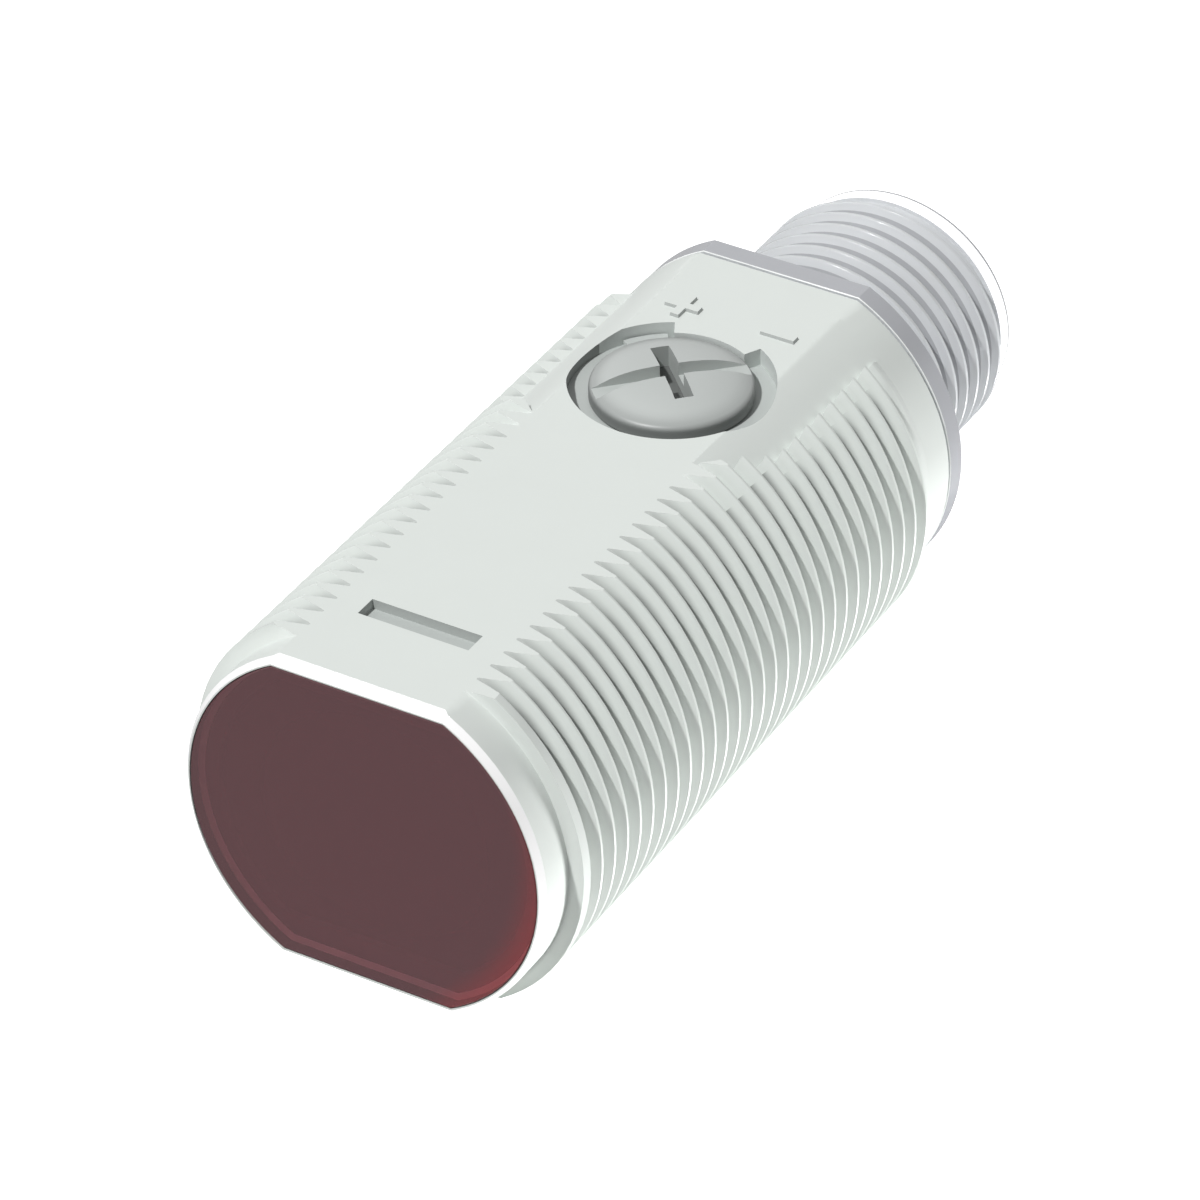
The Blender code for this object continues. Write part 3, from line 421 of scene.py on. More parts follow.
@dataclass(frozen=True)
class Graph:
    """A node tree, with short ways to add, set and link its nodes."""

    tree: Tree

    def feed(self, node: Node, inputs: dict[str | int, Value]) -> None:
        """Set a node's inputs to values, or link them to the outputs given for them."""
        for name, value in inputs.items():
            if isinstance(value, Socket):
                self.tree.links.new(value, node.inputs[name])
            else:
                node.inputs[name].default_value = value

    def add(self, kind: str, inputs: dict[str | int, Value]) -> Outputs:
        """Add a node, feed its inputs and return its outputs."""
        node = self.tree.nodes.new(kind)
        self.feed(node, inputs)
        return node.outputs

    def place(self) -> Socket:
        """Return where a point lies on its piece, in metres."""
        return self.tree.nodes.new("ShaderNodeTexCoord").outputs["Object"]

    def height(self, place: Socket) -> Socket:
        """Return a place's height on Z."""
        return self.add("ShaderNodeSeparateXYZ", {"Vector": place})["Z"]

    def noise(self, place: Socket, scale: float, detail: float) -> Socket:
        """Return noise between 0 and 1."""
        return self.add("ShaderNodeTexNoise", {
            "Scale": scale, "Detail": detail, "Vector": place})["Fac"]

    def math(self, operation: str, *values: Value) -> Socket:
        """Return the result of an operation on numbers."""
        node = self.tree.nodes.new("ShaderNodeMath")
        node.operation = operation
        self.feed(node, dict(enumerate(values)))
        return node.outputs["Value"]

    def vector_math(self, operation: str, *values: Value) -> Outputs:
        """Return both results, Vector and Value, of an operation on vectors."""
        node = self.tree.nodes.new("ShaderNodeVectorMath")
        node.operation = operation
        self.feed(node, dict(enumerate(values)))
        return node.outputs

    def step(self, value: Socket, start: float, end: float, low: float = 0.0,
             high: float = 1.0) -> Socket:
        """Return a smooth step between two results.

        Args:
            value: A length in metres.
            start: Where the step begins, in millimetres.
            end: Where it ends, in millimetres.
            low: The result before the step.
            high: The result after it.

        Returns:
            The output that carries the result.
        """
        node = self.tree.nodes.new("ShaderNodeMapRange")
        node.interpolation_type = "SMOOTHSTEP"
        self.feed(node, {"Value": value, "From Min": start * MM, "From Max": end * MM,
                         "To Min": low, "To Max": high})
        return node.outputs["Result"]

    def mix(self, blending: str, factor: Value, one: Value, other: Value) -> Socket:
        """Return two colours blended by a factor."""
        node = self.tree.nodes.new("ShaderNodeMix")
        node.data_type = "RGBA"
        node.blend_type = blending
        self.feed(node, {"Factor": factor, "A": one, "B": other})
        return node.outputs["Result"]

    def recolour(self, shader: Node, blending: str, factor: Value, other: Value) -> None:
        """Blend another colour into the one that a shader has been linked to."""
        colour = shader.inputs["Base Color"].links[0].from_socket
        self.feed(shader, {"Base Color": self.mix(blending, factor, colour, other)})

    def add_grain(self, shader: Node, grain: Grain) -> None:
        """Give a shader a fine grain, a cloudy colour and an uneven shine.

        The grain is noise on Object coordinates. A slow noise shifts the colour's
        brightness by the tint and the roughness by the shine, up and down.

        Args:
            shader: The shader to change.
            grain: How fine and how strong it is.
        """
        place = self.place()
        fine = self.noise(place, 1.0 / (grain.size * MM), grain.detail)
        cloud = self.noise(place, grain.cloud_share / (grain.size * MM), grain.cloud_detail)
        bump = self.add("ShaderNodeBump", {
            "Distance": grain.height * MM, "Strength": 1.0, "Height": fine})
        colour = np.array(shader.inputs["Base Color"].default_value[:3])
        dim, bright = ((*np.clip(colour * share, 0, 1), 1.0)
                       for share in (1 - grain.tint, 1 + grain.tint))
        level = shader.inputs["Roughness"].default_value
        spread = self.add("ShaderNodeMapRange", {
            "To Min": level - grain.shine, "To Max": level + grain.shine, "Value": cloud})
        self.feed(shader, {"Normal": bump["Normal"], "Roughness": spread["Result"],
                           "Base Color": self.mix("MIX", cloud, dim, bright)})


@dataclass(frozen=True)
class Finish:
    """What every finish shares: a name, a colour, a shine and a grain."""

    name: str
    colour: Colour
    roughness: float
    grain: Grain = Grain()

    @cache
    def material(self) -> Material:
        """Return the finish's material, made once."""
        material = bpy.data.materials.new(self.name)
        material.use_nodes = True
        material.diffuse_color = (*self.colour, 1.0)
        graph, shader = Graph(material.node_tree), material.node_tree.nodes["Principled BSDF"]
        graph.feed(shader, {"Base Color": (*self.colour, 1.0), "Roughness": self.roughness})
        self.dress(graph, shader)
        return material

    def dress(self, graph: Graph, shader: Node) -> None:
        """Add to the shader what this kind of finish has of its own."""
        graph.add_grain(shader, self.grain)


@dataclass(frozen=True)
class MouldedPlastic(Finish):
    """Opaque plastic with the fine grain of its mould."""


@dataclass(frozen=True)
class ShadedPlastic(Finish):
    """Moulded plastic that gets darker towards the bottom of a recess.

    The colour's share grows in a smooth step from the dark height to the light
    height on Z, both in millimetres, as painted shade.
    """

    dark: float = 0.37
    dark_height: float = 6.97
    light_height: float = 7.62

    def dress(self, graph: Graph, shader: Node) -> None:
        """Add the grain and the shade."""
        super().dress(graph, shader)
        height = graph.height(graph.place())
        graph.recolour(shader, "MULTIPLY", 1.0, graph.step(
            height, self.dark_height, self.light_height, low=self.dark))


@dataclass(frozen=True)
class GroovedPlastic(Finish):
    """Moulded plastic of a thread about Y that gets darker down in the grooves.

    The painted shade falls in a smooth step from the root radius outwards over its depth.
    Its strength follows the height above or below the axis, by pairs of height in
    millimetres and share, as the shade changes with how the light falls round the barrel.
    """

    root_r: float = 8.3
    shade_depth: float = 0.42
    dark: float = 0.3
    reach: float = 9.0
    strengths: tuple[tuple[float, float], ...] = (
        (0.0, 0.1), (2.6, 0.5), (4.4, 1.0), (6.2, 1.0), (6.75, 0.6), (7.39, 0.4))

    def dress(self, graph: Graph, shader: Node) -> None:
        """Add the grain and the grooves' shade."""
        super().dress(graph, shader)
        place = graph.place()
        across = graph.vector_math("MULTIPLY", place, (1.0, 0.0, 1.0))["Vector"]
        radius = graph.vector_math("LENGTH", across)["Value"]
        share = graph.step(radius, self.root_r, self.root_r + self.shade_depth, 1.0, 0.0)
        height = graph.math("ABSOLUTE", graph.height(place))
        ramp = graph.tree.nodes.new("ShaderNodeValToRGB")
        graph.feed(ramp, {"Fac": graph.math("DIVIDE", height, self.reach * MM)})
        stops = ramp.color_ramp.elements
        for number, (z, amount) in enumerate(self.strengths):
            stop = stops[number] if number < 2 else stops.new(z / self.reach)
            stop.position = z / self.reach
            stop.color = (amount, amount, amount, 1.0)
        strength = graph.math("MULTIPLY", share, ramp.outputs["Color"])
        graph.recolour(shader, "MULTIPLY", strength, (self.dark, self.dark, self.dark, 1.0))


@dataclass(frozen=True)
class ClearPlastic(Finish):
    """See-through plastic: tinted, clear or hazy."""

    grain: Grain = Grain(2.0, 0.0006, 0.02, 0.01)
    transmission: float = 1.0
    ior: float = 1.49

    def dress(self, graph: Graph, shader: Node) -> None:
        """Add the grain and let the light through."""
        super().dress(graph, shader)
        graph.feed(shader, {"Transmission Weight": self.transmission, "IOR": self.ior})


@dataclass(frozen=True)
class RimLitPlastic(ClearPlastic):
    """See-through plastic that turns to another colour far from a point.

    The far colour is a painted glow of light on the rim; it grows in a smooth step
    from the near to the far distance, in millimetres from the point.
    """

    far_colour: Colour = (0.5, 0.095, 0.105)
    away_from: tuple[float, float, float] = (-3.1, 0.0, 1.6)
    near: float = 9.9
    far: float = 11.6

    def dress(self, graph: Graph, shader: Node) -> None:
        """Add what clear plastic has, and the far colour."""
        super().dress(graph, shader)
        distance = graph.vector_math("DISTANCE", graph.place(), Vector(self.away_from) * MM)
        graph.recolour(shader, "MIX", graph.step(distance["Value"], self.near, self.far),
                       (*self.far_colour, 1.0))


@dataclass(frozen=True)
class GlowingPlastic(Finish):
    """Pale clear plastic with a painted glow: it emits light in its own colour, though no lamp
    is in it.
    """

    grain: Grain = Grain(1.5, 0.0006, 0.01, 0.02)
    glow: float = 0.35

    def dress(self, graph: Graph, shader: Node) -> None:
        """Add the grain and the glow."""
        super().dress(graph, shader)
        graph.feed(shader, {"Emission Color": (*self.colour, 1.0),
                            "Emission Strength": self.glow})


@dataclass(frozen=True)
class Metal(Finish):
    """Plated metal with fine drawing lines."""

    grain: Grain = Grain(0.05, 0.0004, 0.03, 0.06)

    def dress(self, graph: Graph, shader: Node) -> None:
        """Add the grain and make it metal."""
        super().dress(graph, shader)
        graph.feed(shader, {"Metallic": 1.0})


@dataclass(frozen=True)
class CircuitBoard(Finish):
    """Board with a solder mask over straight copper tracks.

    A brick pattern on Object coordinates marks the tracks, which show as a lighter
    green and stand a little above the board.
    """

    track_pitch: float = 0.9
    track_width: float = 0.12
    track_height: float = 0.03
    track_brightness: float = 1.9

    def dress(self, graph: Graph, shader: Node) -> None:
        """Add the tracks."""
        mask = (*self.colour, 1.0)
        tracks = graph.add("ShaderNodeTexBrick", {
            "Scale": 1.0 / (self.track_pitch * MM), "Mortar Size": self.track_width,
            "Color1": mask, "Color2": mask, "Vector": graph.place(),
            "Mortar": (*(self.track_brightness * np.array(self.colour)), 1.0)})
        bump = graph.add("ShaderNodeBump", {
            "Distance": self.track_height * MM, "Height": tracks["Fac"]})
        graph.feed(shader, {"Base Color": tracks["Color"], "Normal": bump["Normal"]})


SHELL = MouldedPlastic("light_grey_plastic", (0.707, 0.745, 0.717), 0.34)
FRONT_EDGE = MouldedPlastic("white_front_edge", (0.98, 0.98, 0.98), 0.3, Grain(tint=0.0))
# Painted highlight: the flange's front chamfer is made pale where light catches the seam.
SEAM_HIGHLIGHT = MouldedPlastic("painted_highlight_seam_edge", (0.84, 0.86, 0.85), 0.3)
# Painted shade: darker greys for the floors and walls of the pocket and of the slot behind the
# window.
RECESS_FLOOR_SHADE = MouldedPlastic("light_grey_recess_painted_shade", (0.47, 0.50, 0.485), 0.45)
SLOT_WALL_SHADE = MouldedPlastic("grey_slot_wall_painted_shade", (0.43, 0.455, 0.442), 0.45)
POCKET_WALL_SHADE = MouldedPlastic("grey_pocket_wall_painted_shade", (0.62, 0.655, 0.638), 0.42)
# Painted shadow on the part of the pocket's wall that faces away from the light.
RECESS_SHADE = MouldedPlastic("painted_shadow_pocket_wall", (0.25, 0.265, 0.257), 0.5)
# Painted light: the ridges' end walls beside the adjuster are made paler than the shell.
RIDGE_END_LIGHT = MouldedPlastic("pale_ridge_end_painted_light", (0.82, 0.85, 0.83), 0.34)
# Painted shade on the upright sides of the raised plus and minus.
MARK_SIDE_SHADE = MouldedPlastic("grey_mark_side_painted_shade", (0.43, 0.45, 0.44), 0.5)
# Painted shade down in the thread's grooves.
GROOVE_SHADE_THREAD = GroovedPlastic("painted_groove_shade_thread", (0.707, 0.745, 0.717), 0.34)
GROOVE_SHADE_THREAD_BESIDE = GroovedPlastic(
    "painted_groove_shade_thread_beside", (0.707, 0.745, 0.717), 0.34, strengths=(
        (0.0, 0.1), (2.6, 0.5), (4.4, 1.0), (5.2, 1.0), (5.75, 0.25), (7.39, 0.0)))
# Painted shade: the knob's grey darkens towards the bottom of its pocket.
KNOB_GREY_SHADE = ShadedPlastic("knob_grey_plastic_painted_shade", (0.48, 0.505, 0.493), 0.42)
KNOB_LUG = MouldedPlastic("knob_lug", (0.50, 0.53, 0.515), 0.45)
KNOB_SLOT = MouldedPlastic("knob_slot", (0.48, 0.508, 0.493), 0.5)
# Painted shade in the knob's short slot: darker walls and a near-black floor.
KNOB_SHORT_SLOT_SHADE = MouldedPlastic("knob_short_slot_painted_shade", (0.42, 0.444, 0.432), 0.5)
KNOB_DEEP_SLOT_SHADE = MouldedPlastic("knob_deep_slot_painted_shade", (0.12, 0.127, 0.123), 0.5)
WINDOW_SIDE = MouldedPlastic("black_window_side", (0.01, 0.004, 0.004), 0.6)
WINDOW_RIM = MouldedPlastic("frosted_window_rim", (1.0, 0.8, 0.8), 0.6)
# The red window carries a painted glow that brightens it towards one side of its rim.
WINDOW_RED_AND_GLOW = RimLitPlastic("dark_red_acrylic", (0.27, 0.113, 0.128), 0.05, transmission=0.6)
HAZE = ClearPlastic("hazy_clear_plastic", (0.76, 0.78, 0.80), 0.2, transmission=0.25)
# Painted shade in the plug's grooves and as a grey line at its nose's rim.
HAZE_SHADE = ClearPlastic("hazy_plastic_painted_shade", (0.46, 0.47, 0.49), 0.25, transmission=0.2)
FLANGE_HAZE = ClearPlastic("hazy_flange_plastic", (0.52, 0.53, 0.56), 0.2, transmission=0.2)
# Painted glow on the plug's nose.
NOSE_GLOW = GlowingPlastic("clear_nose_painted_glow", (0.97, 0.97, 0.98), 0.2)
BLACK = MouldedPlastic("black_plastic", (0.02, 0.02, 0.022), 0.45)
FILM = ClearPlastic("polarising_film", (0.18, 0.17, 0.16), 0.12, transmission=0.5)
CLEAR = ClearPlastic("clear_acrylic", (0.86, 0.88, 0.88), 0.03)
RED_EPOXY = ClearPlastic("red_epoxy", (0.7, 0.05, 0.04), 0.15, transmission=0.6)
GREEN_EPOXY = ClearPlastic("green_epoxy", (0.1, 0.6, 0.15), 0.15, transmission=0.6)
YELLOW_EPOXY = ClearPlastic("yellow_epoxy", (0.85, 0.65, 0.08), 0.15, transmission=0.6)
BOARD = CircuitBoard("glass_epoxy_board", (0.03, 0.20, 0.08), 0.35)
PACKAGE = MouldedPlastic("black_epoxy_package", (0.025, 0.025, 0.025), 0.5,
                         Grain(0.06, 0.003))
CERAMIC = MouldedPlastic("tan_ceramic", (0.55, 0.42, 0.28), 0.5, Grain(0.08, tint=0.06))
TRIMMER_BLUE = MouldedPlastic("blue_trimmer_plastic", (0.05, 0.16, 0.45), 0.35)
ROTOR_WHITE = MouldedPlastic("white_rotor_plastic", (0.85, 0.85, 0.83), 0.4)
RUBBER = MouldedPlastic("black_seal_rubber", (0.03, 0.03, 0.03), 0.7,
                        Grain(0.2, 0.004))
GOLD = Metal("gold_plated_brass", (0.83, 0.64, 0.28), 0.22)


def paint(made: Piece, finish: Finish, chosen: NDArray[np.bool_]) -> None:
    """Give the chosen faces of a dressed piece a finish of their own.

    Args:
        made: The piece.
        finish: The finish for the chosen faces.
        chosen: One flag per face.
    """
    made.data.materials.append(finish.material())
    number = len(made.data.materials) - 1
    index = np.zeros(len(made.data.polygons), dtype=np.int32)
    made.data.polygons.foreach_get("material_index", index)
    index[chosen] = number
    made.data.polygons.foreach_set("material_index", index)


def face_data(made: Piece) -> tuple[Array, Array]:
    """Return the middles of a piece's faces in millimetres and their normals, as rows."""
    count = len(made.data.polygons)
    middles, normals = np.zeros(count * 3), np.zeros(count * 3)
    made.data.polygons.foreach_get("center", middles)
    made.data.polygons.foreach_get("normal", normals)
    return middles.reshape(-1, 3).T / MM, normals.reshape(-1, 3).T


def place_piece(made: Piece, finish: Finish, body: Body, node: str,
                sharp: float = 24.0) -> Piece:
    """Shade and dress a new piece and put it in the place of its CAD node.

    Args:
        made: The piece.
        finish: Its finish.
        body: The body it moves with.
        node: The CAD node it stands for.
        sharp: The angle in degrees from which an edge is sharp.

    Returns:
        The piece.
    """
    made.data.materials.clear()
    made.data.materials.append(finish.material())
    made.data.shade_smooth()
    made.data.set_sharp_from_angle(angle=np.radians(sharp))
    weighted = made.modifiers.new("weighted", "WEIGHTED_NORMAL")
    weighted.keep_sharp = True
    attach(made, body.value)
    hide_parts(node)
    LOG.info("%s: %d faces, for %s", made.name, len(made.data.polygons), node)
    return made


@dataclass
class Barrel:
    """The moulded barrel: M18 x 1 thread, two flats, window seat, slot and pocket."""

    length: float
    crest_r: float
    flat_half: float
    knob_y: float
    thread_depth: float = 0.65
    thread_start: float = 1.23
    thread_turns: float = 29.75
    thread_run_in: float = 0.2
    thread_run_out: float = 0.45
    crest_flat: float = 0.13
    root_flat: float = 0.12
    thread_rounding: float = 0.07
    run_up: float = 0.3
    run_off: float = 1.15
    shoulder: float = 1.93
    facets: int = 84
    front_chamfer: float = 0.45
    round_chamfer: float = 0.3
    front_land: float = 0.06
    rear_chamfer: float = 0.1
    side_wall: float = 1.2
    flat_wall: float = 1.59
    front_rim: float = 0.31
    flat_rim: float = 0.42
    white_rim: float = 1.2
    window_gap: float = 0.04
    window_thick: float = 1.4
    slot_half: float = 2.53
    slot_front: float = 4.21
    slot_length: float = 1.09
    slot_depth: float = 0.45
    knob_r: float = 3.45
    pocket_ring: float = 0.9
    pocket_depth: float = 0.8
    stop_half_deg: float = 28.0
    stop_gap: float = 0.1
    seal_r: float = 1.95
    seal_depth: float = 0.42
    shaft_hole_r: float = 1.18
    hole_below: float = 1.0
    relief_r: float = 6.15
    relief_half: float = 5.94
    relief_rear: float = 32.46
    relief_flare: float = 0.3
    trim_front: float = 20.62
    trim_width: float = 1.3
    trim_floor: float = 5.8
    relief_below_root: float = 0.03
    swell_start: float = 0.8
    swell_end: float = 0.1
    beside_front: float = 2.3
    mark_span: float = 1.6
    mark_arm: float = 0.42
    mark_height: float = 0.15
    mark_sink: float = 0.05
    mark_draft: float = 0.03
    mark_x: float = 2.28
    mark_from_pocket: float = 0.64
    # The bearing and the width, in degrees, of the painted shadow on the pocket's wall.
    shade_bearing: float = -109.5
    shade_span: float = 69.0
    paint_from: float = 0.5
    flat_normal: float = 0.98
    side_normal: float = 0.85
    reach: float = 2.0

    @property
    def root_r(self) -> float:
        """The radius at the thread's root, and of the plain collars."""
        return self.crest_r - self.thread_depth

    @property
    def pocket_r(self) -> float:
        """The radius of the adjuster's pocket."""
        return self.knob_r + self.pocket_ring

    def threaded(self) -> Shape:
        """Return the round barrel with its thread, before anything is cut."""
        form = ThreadForm(self.root_r, self.crest_r, self.crest_flat, self.root_flat,
                          self.thread_rounding)
        seat_r = self.root_r - self.front_rim + self.window_gap
        front = [(seat_r + self.front_land, 0.0), (self.root_r, self.round_chamfer),
                 (self.root_r, self.thread_start - self.run_up)]
        end = self.thread_start + self.thread_turns + self.run_off
        rear = [(self.root_r, end), (self.root_r, self.length - self.rear_chamfer),
                (self.root_r - self.rear_chamfer, self.length)]
        return form.barrel(self.thread_start, self.thread_turns, self.thread_run_in,
                           self.thread_run_out, self.facets, front, rear, self.shoulder)

    def flat_tool(self, side: int) -> Shape:
        """Return what cuts one flat, with its chamfers at both ends."""
        seat = self.flat_half - self.flat_rim + self.window_gap + self.front_land
        slope = (self.flat_half - seat) / self.front_chamfer
        top = self.crest_r + self.reach
        end = self.length + self.reach
        outline = np.array([
            [-self.reach, seat - slope * self.reach], [self.front_chamfer, self.flat_half],
            [self.length - self.rear_chamfer, self.flat_half],
            [end, self.flat_half - self.reach - self.rear_chamfer], [end, top],
            [-self.reach, top]])
        half = self.crest_r + self.reach
        rings = np.stack([np.column_stack([np.full(6, x), outline[:, 0], side * outline[:, 1]])
                          for x in (-half, half)])
        return sweep(rings)

    def hollow_tools(self) -> list[Shape]:
        """Return the bore and the window's seat."""
        gap = self.window_gap
        return [flatted_prism(self.root_r - self.side_wall, self.flat_half - self.flat_wall,
                              -self.reach, self.length + self.reach),
                flatted_prism(self.root_r - self.front_rim + gap,
                              self.flat_half - self.flat_rim + gap,
                              -self.reach, self.window_thick + gap)]

    def relief_tool(self) -> Piece:
        """Return what trims the thread beside the adjuster.

        It is an outline with a round front, wider above than below, and a box that
        levels the ridges' ends on the left, less a core just under the root that
        swells back to the root behind the last turn.
        """
        low = self.flat_half - self.flat_wall
        crest = np.sqrt(self.crest_r ** 2 - self.relief_half ** 2)
        root = np.sqrt(self.root_r ** 2 - self.relief_half ** 2)
        rear = self.relief_rear - self.knob_y
        side = np.degrees(np.arcsin(self.relief_half / self.relief_r))
        rings = []
        for height, less in ((low, self.relief_flare), (root, self.relief_flare),
                             (crest, 0.0), (self.crest_r + self.reach, 0.0)):
            half = self.relief_half - less
            front = arc(self.relief_r - less, 180.0 - side, 180.0 + side, 48)
            front[:, 0] = np.clip(front[:, 0], -half, half)
            outline = np.vstack([front, [[-half, rear], [half, rear]]])
            rings.append(ring(outline, height, Axis.Z))
        tool = sweep(np.stack(rings)).moved(y=self.knob_y).object("relief")
        far, front_y = -self.relief_half - self.trim_width, self.trim_front - self.knob_y
        near = -np.sqrt(self.relief_r ** 2 - front_y ** 2)
        level = np.array([[far, front_y], [near, front_y], [near, rear], [far, rear]])
        carve(tool, Joining.ADD, prism(level, self.trim_floor, self.crest_r + self.reach,
                                       Axis.Z).moved(y=self.knob_y))
        core_r, last = self.root_r - self.relief_below_root, self.knob_y + rear
        end, full_r = self.length + self.reach, self.root_r + TOUCH
        core = [(0.0, -self.reach), (core_r, -self.reach), (core_r, last - self.swell_start),
                (full_r, last - self.swell_end), (full_r, end), (0.0, end)]
        carve(tool, Joining.REMOVE, lathe(core, 2 * self.facets, Axis.Y))
        return tool

    def pocket_tools(self) -> list[Shape]:
        """Return the adjuster's pocket with its stop, the seal's seat and the shaft's hole."""
        top = self.crest_r + self.reach
        floor = self.flat_half - self.pocket_depth
        stop = self.stop_half_deg
        outline = np.vstack([arc(self.pocket_r, stop, 360 - stop, 80),
                             arc(self.knob_r + self.stop_gap, -stop, stop, 16)])
        below = self.flat_half - self.flat_wall - self.hole_below
        tools = [prism(outline, floor, top, Axis.Z),
                 disc(self.seal_r, floor - self.seal_depth, top, 48, Axis.Z),
                 disc(self.shaft_hole_r, below, top, 32, Axis.Z)]
        return [tool.moved(y=self.knob_y) for tool in tools]

    def slot_tool(self) -> Shape:
        """Return the blind slot behind the window."""
        outline = rectangle(self.slot_half, self.slot_length / 2)
        tool = prism(outline, self.flat_half - self.slot_depth, self.flat_half + self.reach,
                     Axis.Z)
        return tool.moved(y=self.slot_front + self.slot_length / 2)

    def marks(self) -> list[Shape]:
        """Return the raised plus and minus, with slightly drafted sides."""
        draft = self.mark_draft
        y = self.knob_y + self.pocket_r + self.mark_from_pocket
        base, top = self.flat_half - self.mark_sink, self.flat_half + self.mark_height
        plus = [cross(self.mark_span + draft, self.mark_arm + draft),
                cross(self.mark_span - draft, self.mark_arm - draft)]
        minus = [rectangle((self.mark_span + draft) / 2, (self.mark_arm + draft) / 2),
                 rectangle((self.mark_span - draft) / 2, (self.mark_arm - draft) / 2)]
        made = []
        for x, (low, high) in ((-self.mark_x, plus), (self.mark_x, minus)):
            rings = np.stack([ring(low, base, Axis.Z), ring(high, top, Axis.Z)])
            made.append(sweep(rings).moved(x=x, y=y))
        return made

    def build(self) -> None:
        """Make the barrel and dress it."""
        made = self.threaded().object("barrel")
        carve(made, Joining.REMOVE, self.flat_tool(1), self.flat_tool(-1), *self.hollow_tools(),
              self.slot_tool(), self.relief_tool(), *self.pocket_tools())
        carve(made, Joining.ADD, *self.marks())
        place_piece(made, SHELL, Body.SENSOR, "housing", sharp=31.0)
        self.paint_recesses(made)
        self.paint_threads(made)

    def paint_recesses(self, made: Piece) -> None:
        """Give the barrel's front edge, pocket, slot and marks their finishes."""
        (x, y, z), normal = face_data(made)
        rim = np.hypot(x, z) > self.root_r - self.front_rim - self.white_rim
        paint(made, FRONT_EDGE, rim & (y < self.front_chamfer) & (normal[1] < -SLANTED))
        upright = np.abs(normal[2]) < UPRIGHT
        floor = self.flat_half - self.pocket_depth
        below = (z < self.flat_half - TOUCH) & (z > floor - TOUCH)
        pocket = below & (np.hypot(x, y - self.knob_y) < self.pocket_r + TOUCH) & (
            upright | (z < floor + TOUCH))
        half = self.slot_length / 2
        slot = below & (np.abs(x) < self.slot_half + TOUCH) & (
            np.abs(y - self.slot_front - half) < half + TOUCH)
        # Painted shade on the pocket's and the slot's floors and walls.
        paint(made, RECESS_FLOOR_SHADE, (pocket | slot) & ~upright)
        paint(made, SLOT_WALL_SHADE, slot & upright)
        paint(made, POCKET_WALL_SHADE, pocket & upright)
        # Painted shadow on part of the pocket's wall.
        bearing = np.degrees(np.arctan2(x, y - self.knob_y))
        shaded = np.abs(bearing - self.shade_bearing) < self.shade_span / 2
        paint(made, RECESS_SHADE, pocket & upright & shaded)
        # Painted shade on the marks' upright sides.
        paint(made, MARK_SIDE_SHADE, upright & (z > self.flat_half + TOUCH)
              & (np.abs(x) < self.mark_x + self.mark_span))

    def paint_threads(self, made: Piece) -> None:
        """Give the barrel's thread its shade and the ridge ends their paleness.

        A face belongs to the ridges when it lies, counted in turns, between the
        thread's start and its run-out, and isn't part of a flat; the ridges get painted shade
        in their grooves. A ridge's end is an upright face that looks sideways, beside the
        adjuster or behind it, and gets painted light.
        """
        (x, y, z), normal = face_data(made)
        outer = np.hypot(x, z) > self.root_r - 2 * TOUCH
        relieved = (z > 0) & (np.abs(x) < self.relief_half + 5 * TOUCH) & (
            y > self.knob_y - self.relief_r)
        begun = (np.degrees(np.arctan2(x, z)) + 180.0) / 360.0
        along = y - self.thread_start - begun
        last = np.floor(self.thread_turns - self.thread_run_out - begun) + 1.0
        ridges = (along > self.paint_from) & (along < last) & outer & ~relieved & (
            np.abs(normal[2]) < self.flat_normal)
        beside = y > self.knob_y - self.beside_front
        # Painted shade in the thread's grooves.
        paint(made, GROOVE_SHADE_THREAD, ridges & ~beside)
        paint(made, GROOVE_SHADE_THREAD_BESIDE, ridges & beside)
        # Painted light on the ridges' end walls beside the adjuster.
        paint(made, RIDGE_END_LIGHT, outer & relieved & (np.abs(normal[0]) > self.side_normal)
              & (y > self.knob_y - self.relief_r / 2))


@dataclass
class Window:
    """The red window, glued into the front of the barrel."""

    radius: float
    half: float
    thick: float
    edge: float = 0.04
    rear_edge: float = 0.25
    level_normal: float = 0.95

    def build(self) -> None:
        """Make the window as flatted rings, with a broken edge in front and behind."""
        steps = [(self.edge, 0.0), (0.0, self.edge), (0.0, self.thick - self.rear_edge),
                 (self.rear_edge, self.thick)]
        made = flatted_steps(self.radius, self.half, steps).object("window")
        # The window's finish has a painted glow towards one side of its rim.
        place_piece(made, WINDOW_RED_AND_GLOW, Body.SENSOR, "front_window")
        middle, normal = face_data(made)
        side = np.abs(normal[1]) < SLANTED
        paint(made, WINDOW_SIDE, side)
        paint(made, WINDOW_RIM, ~side & (normal[1] < self.level_normal)
              & (middle[1] > self.thick / 2))


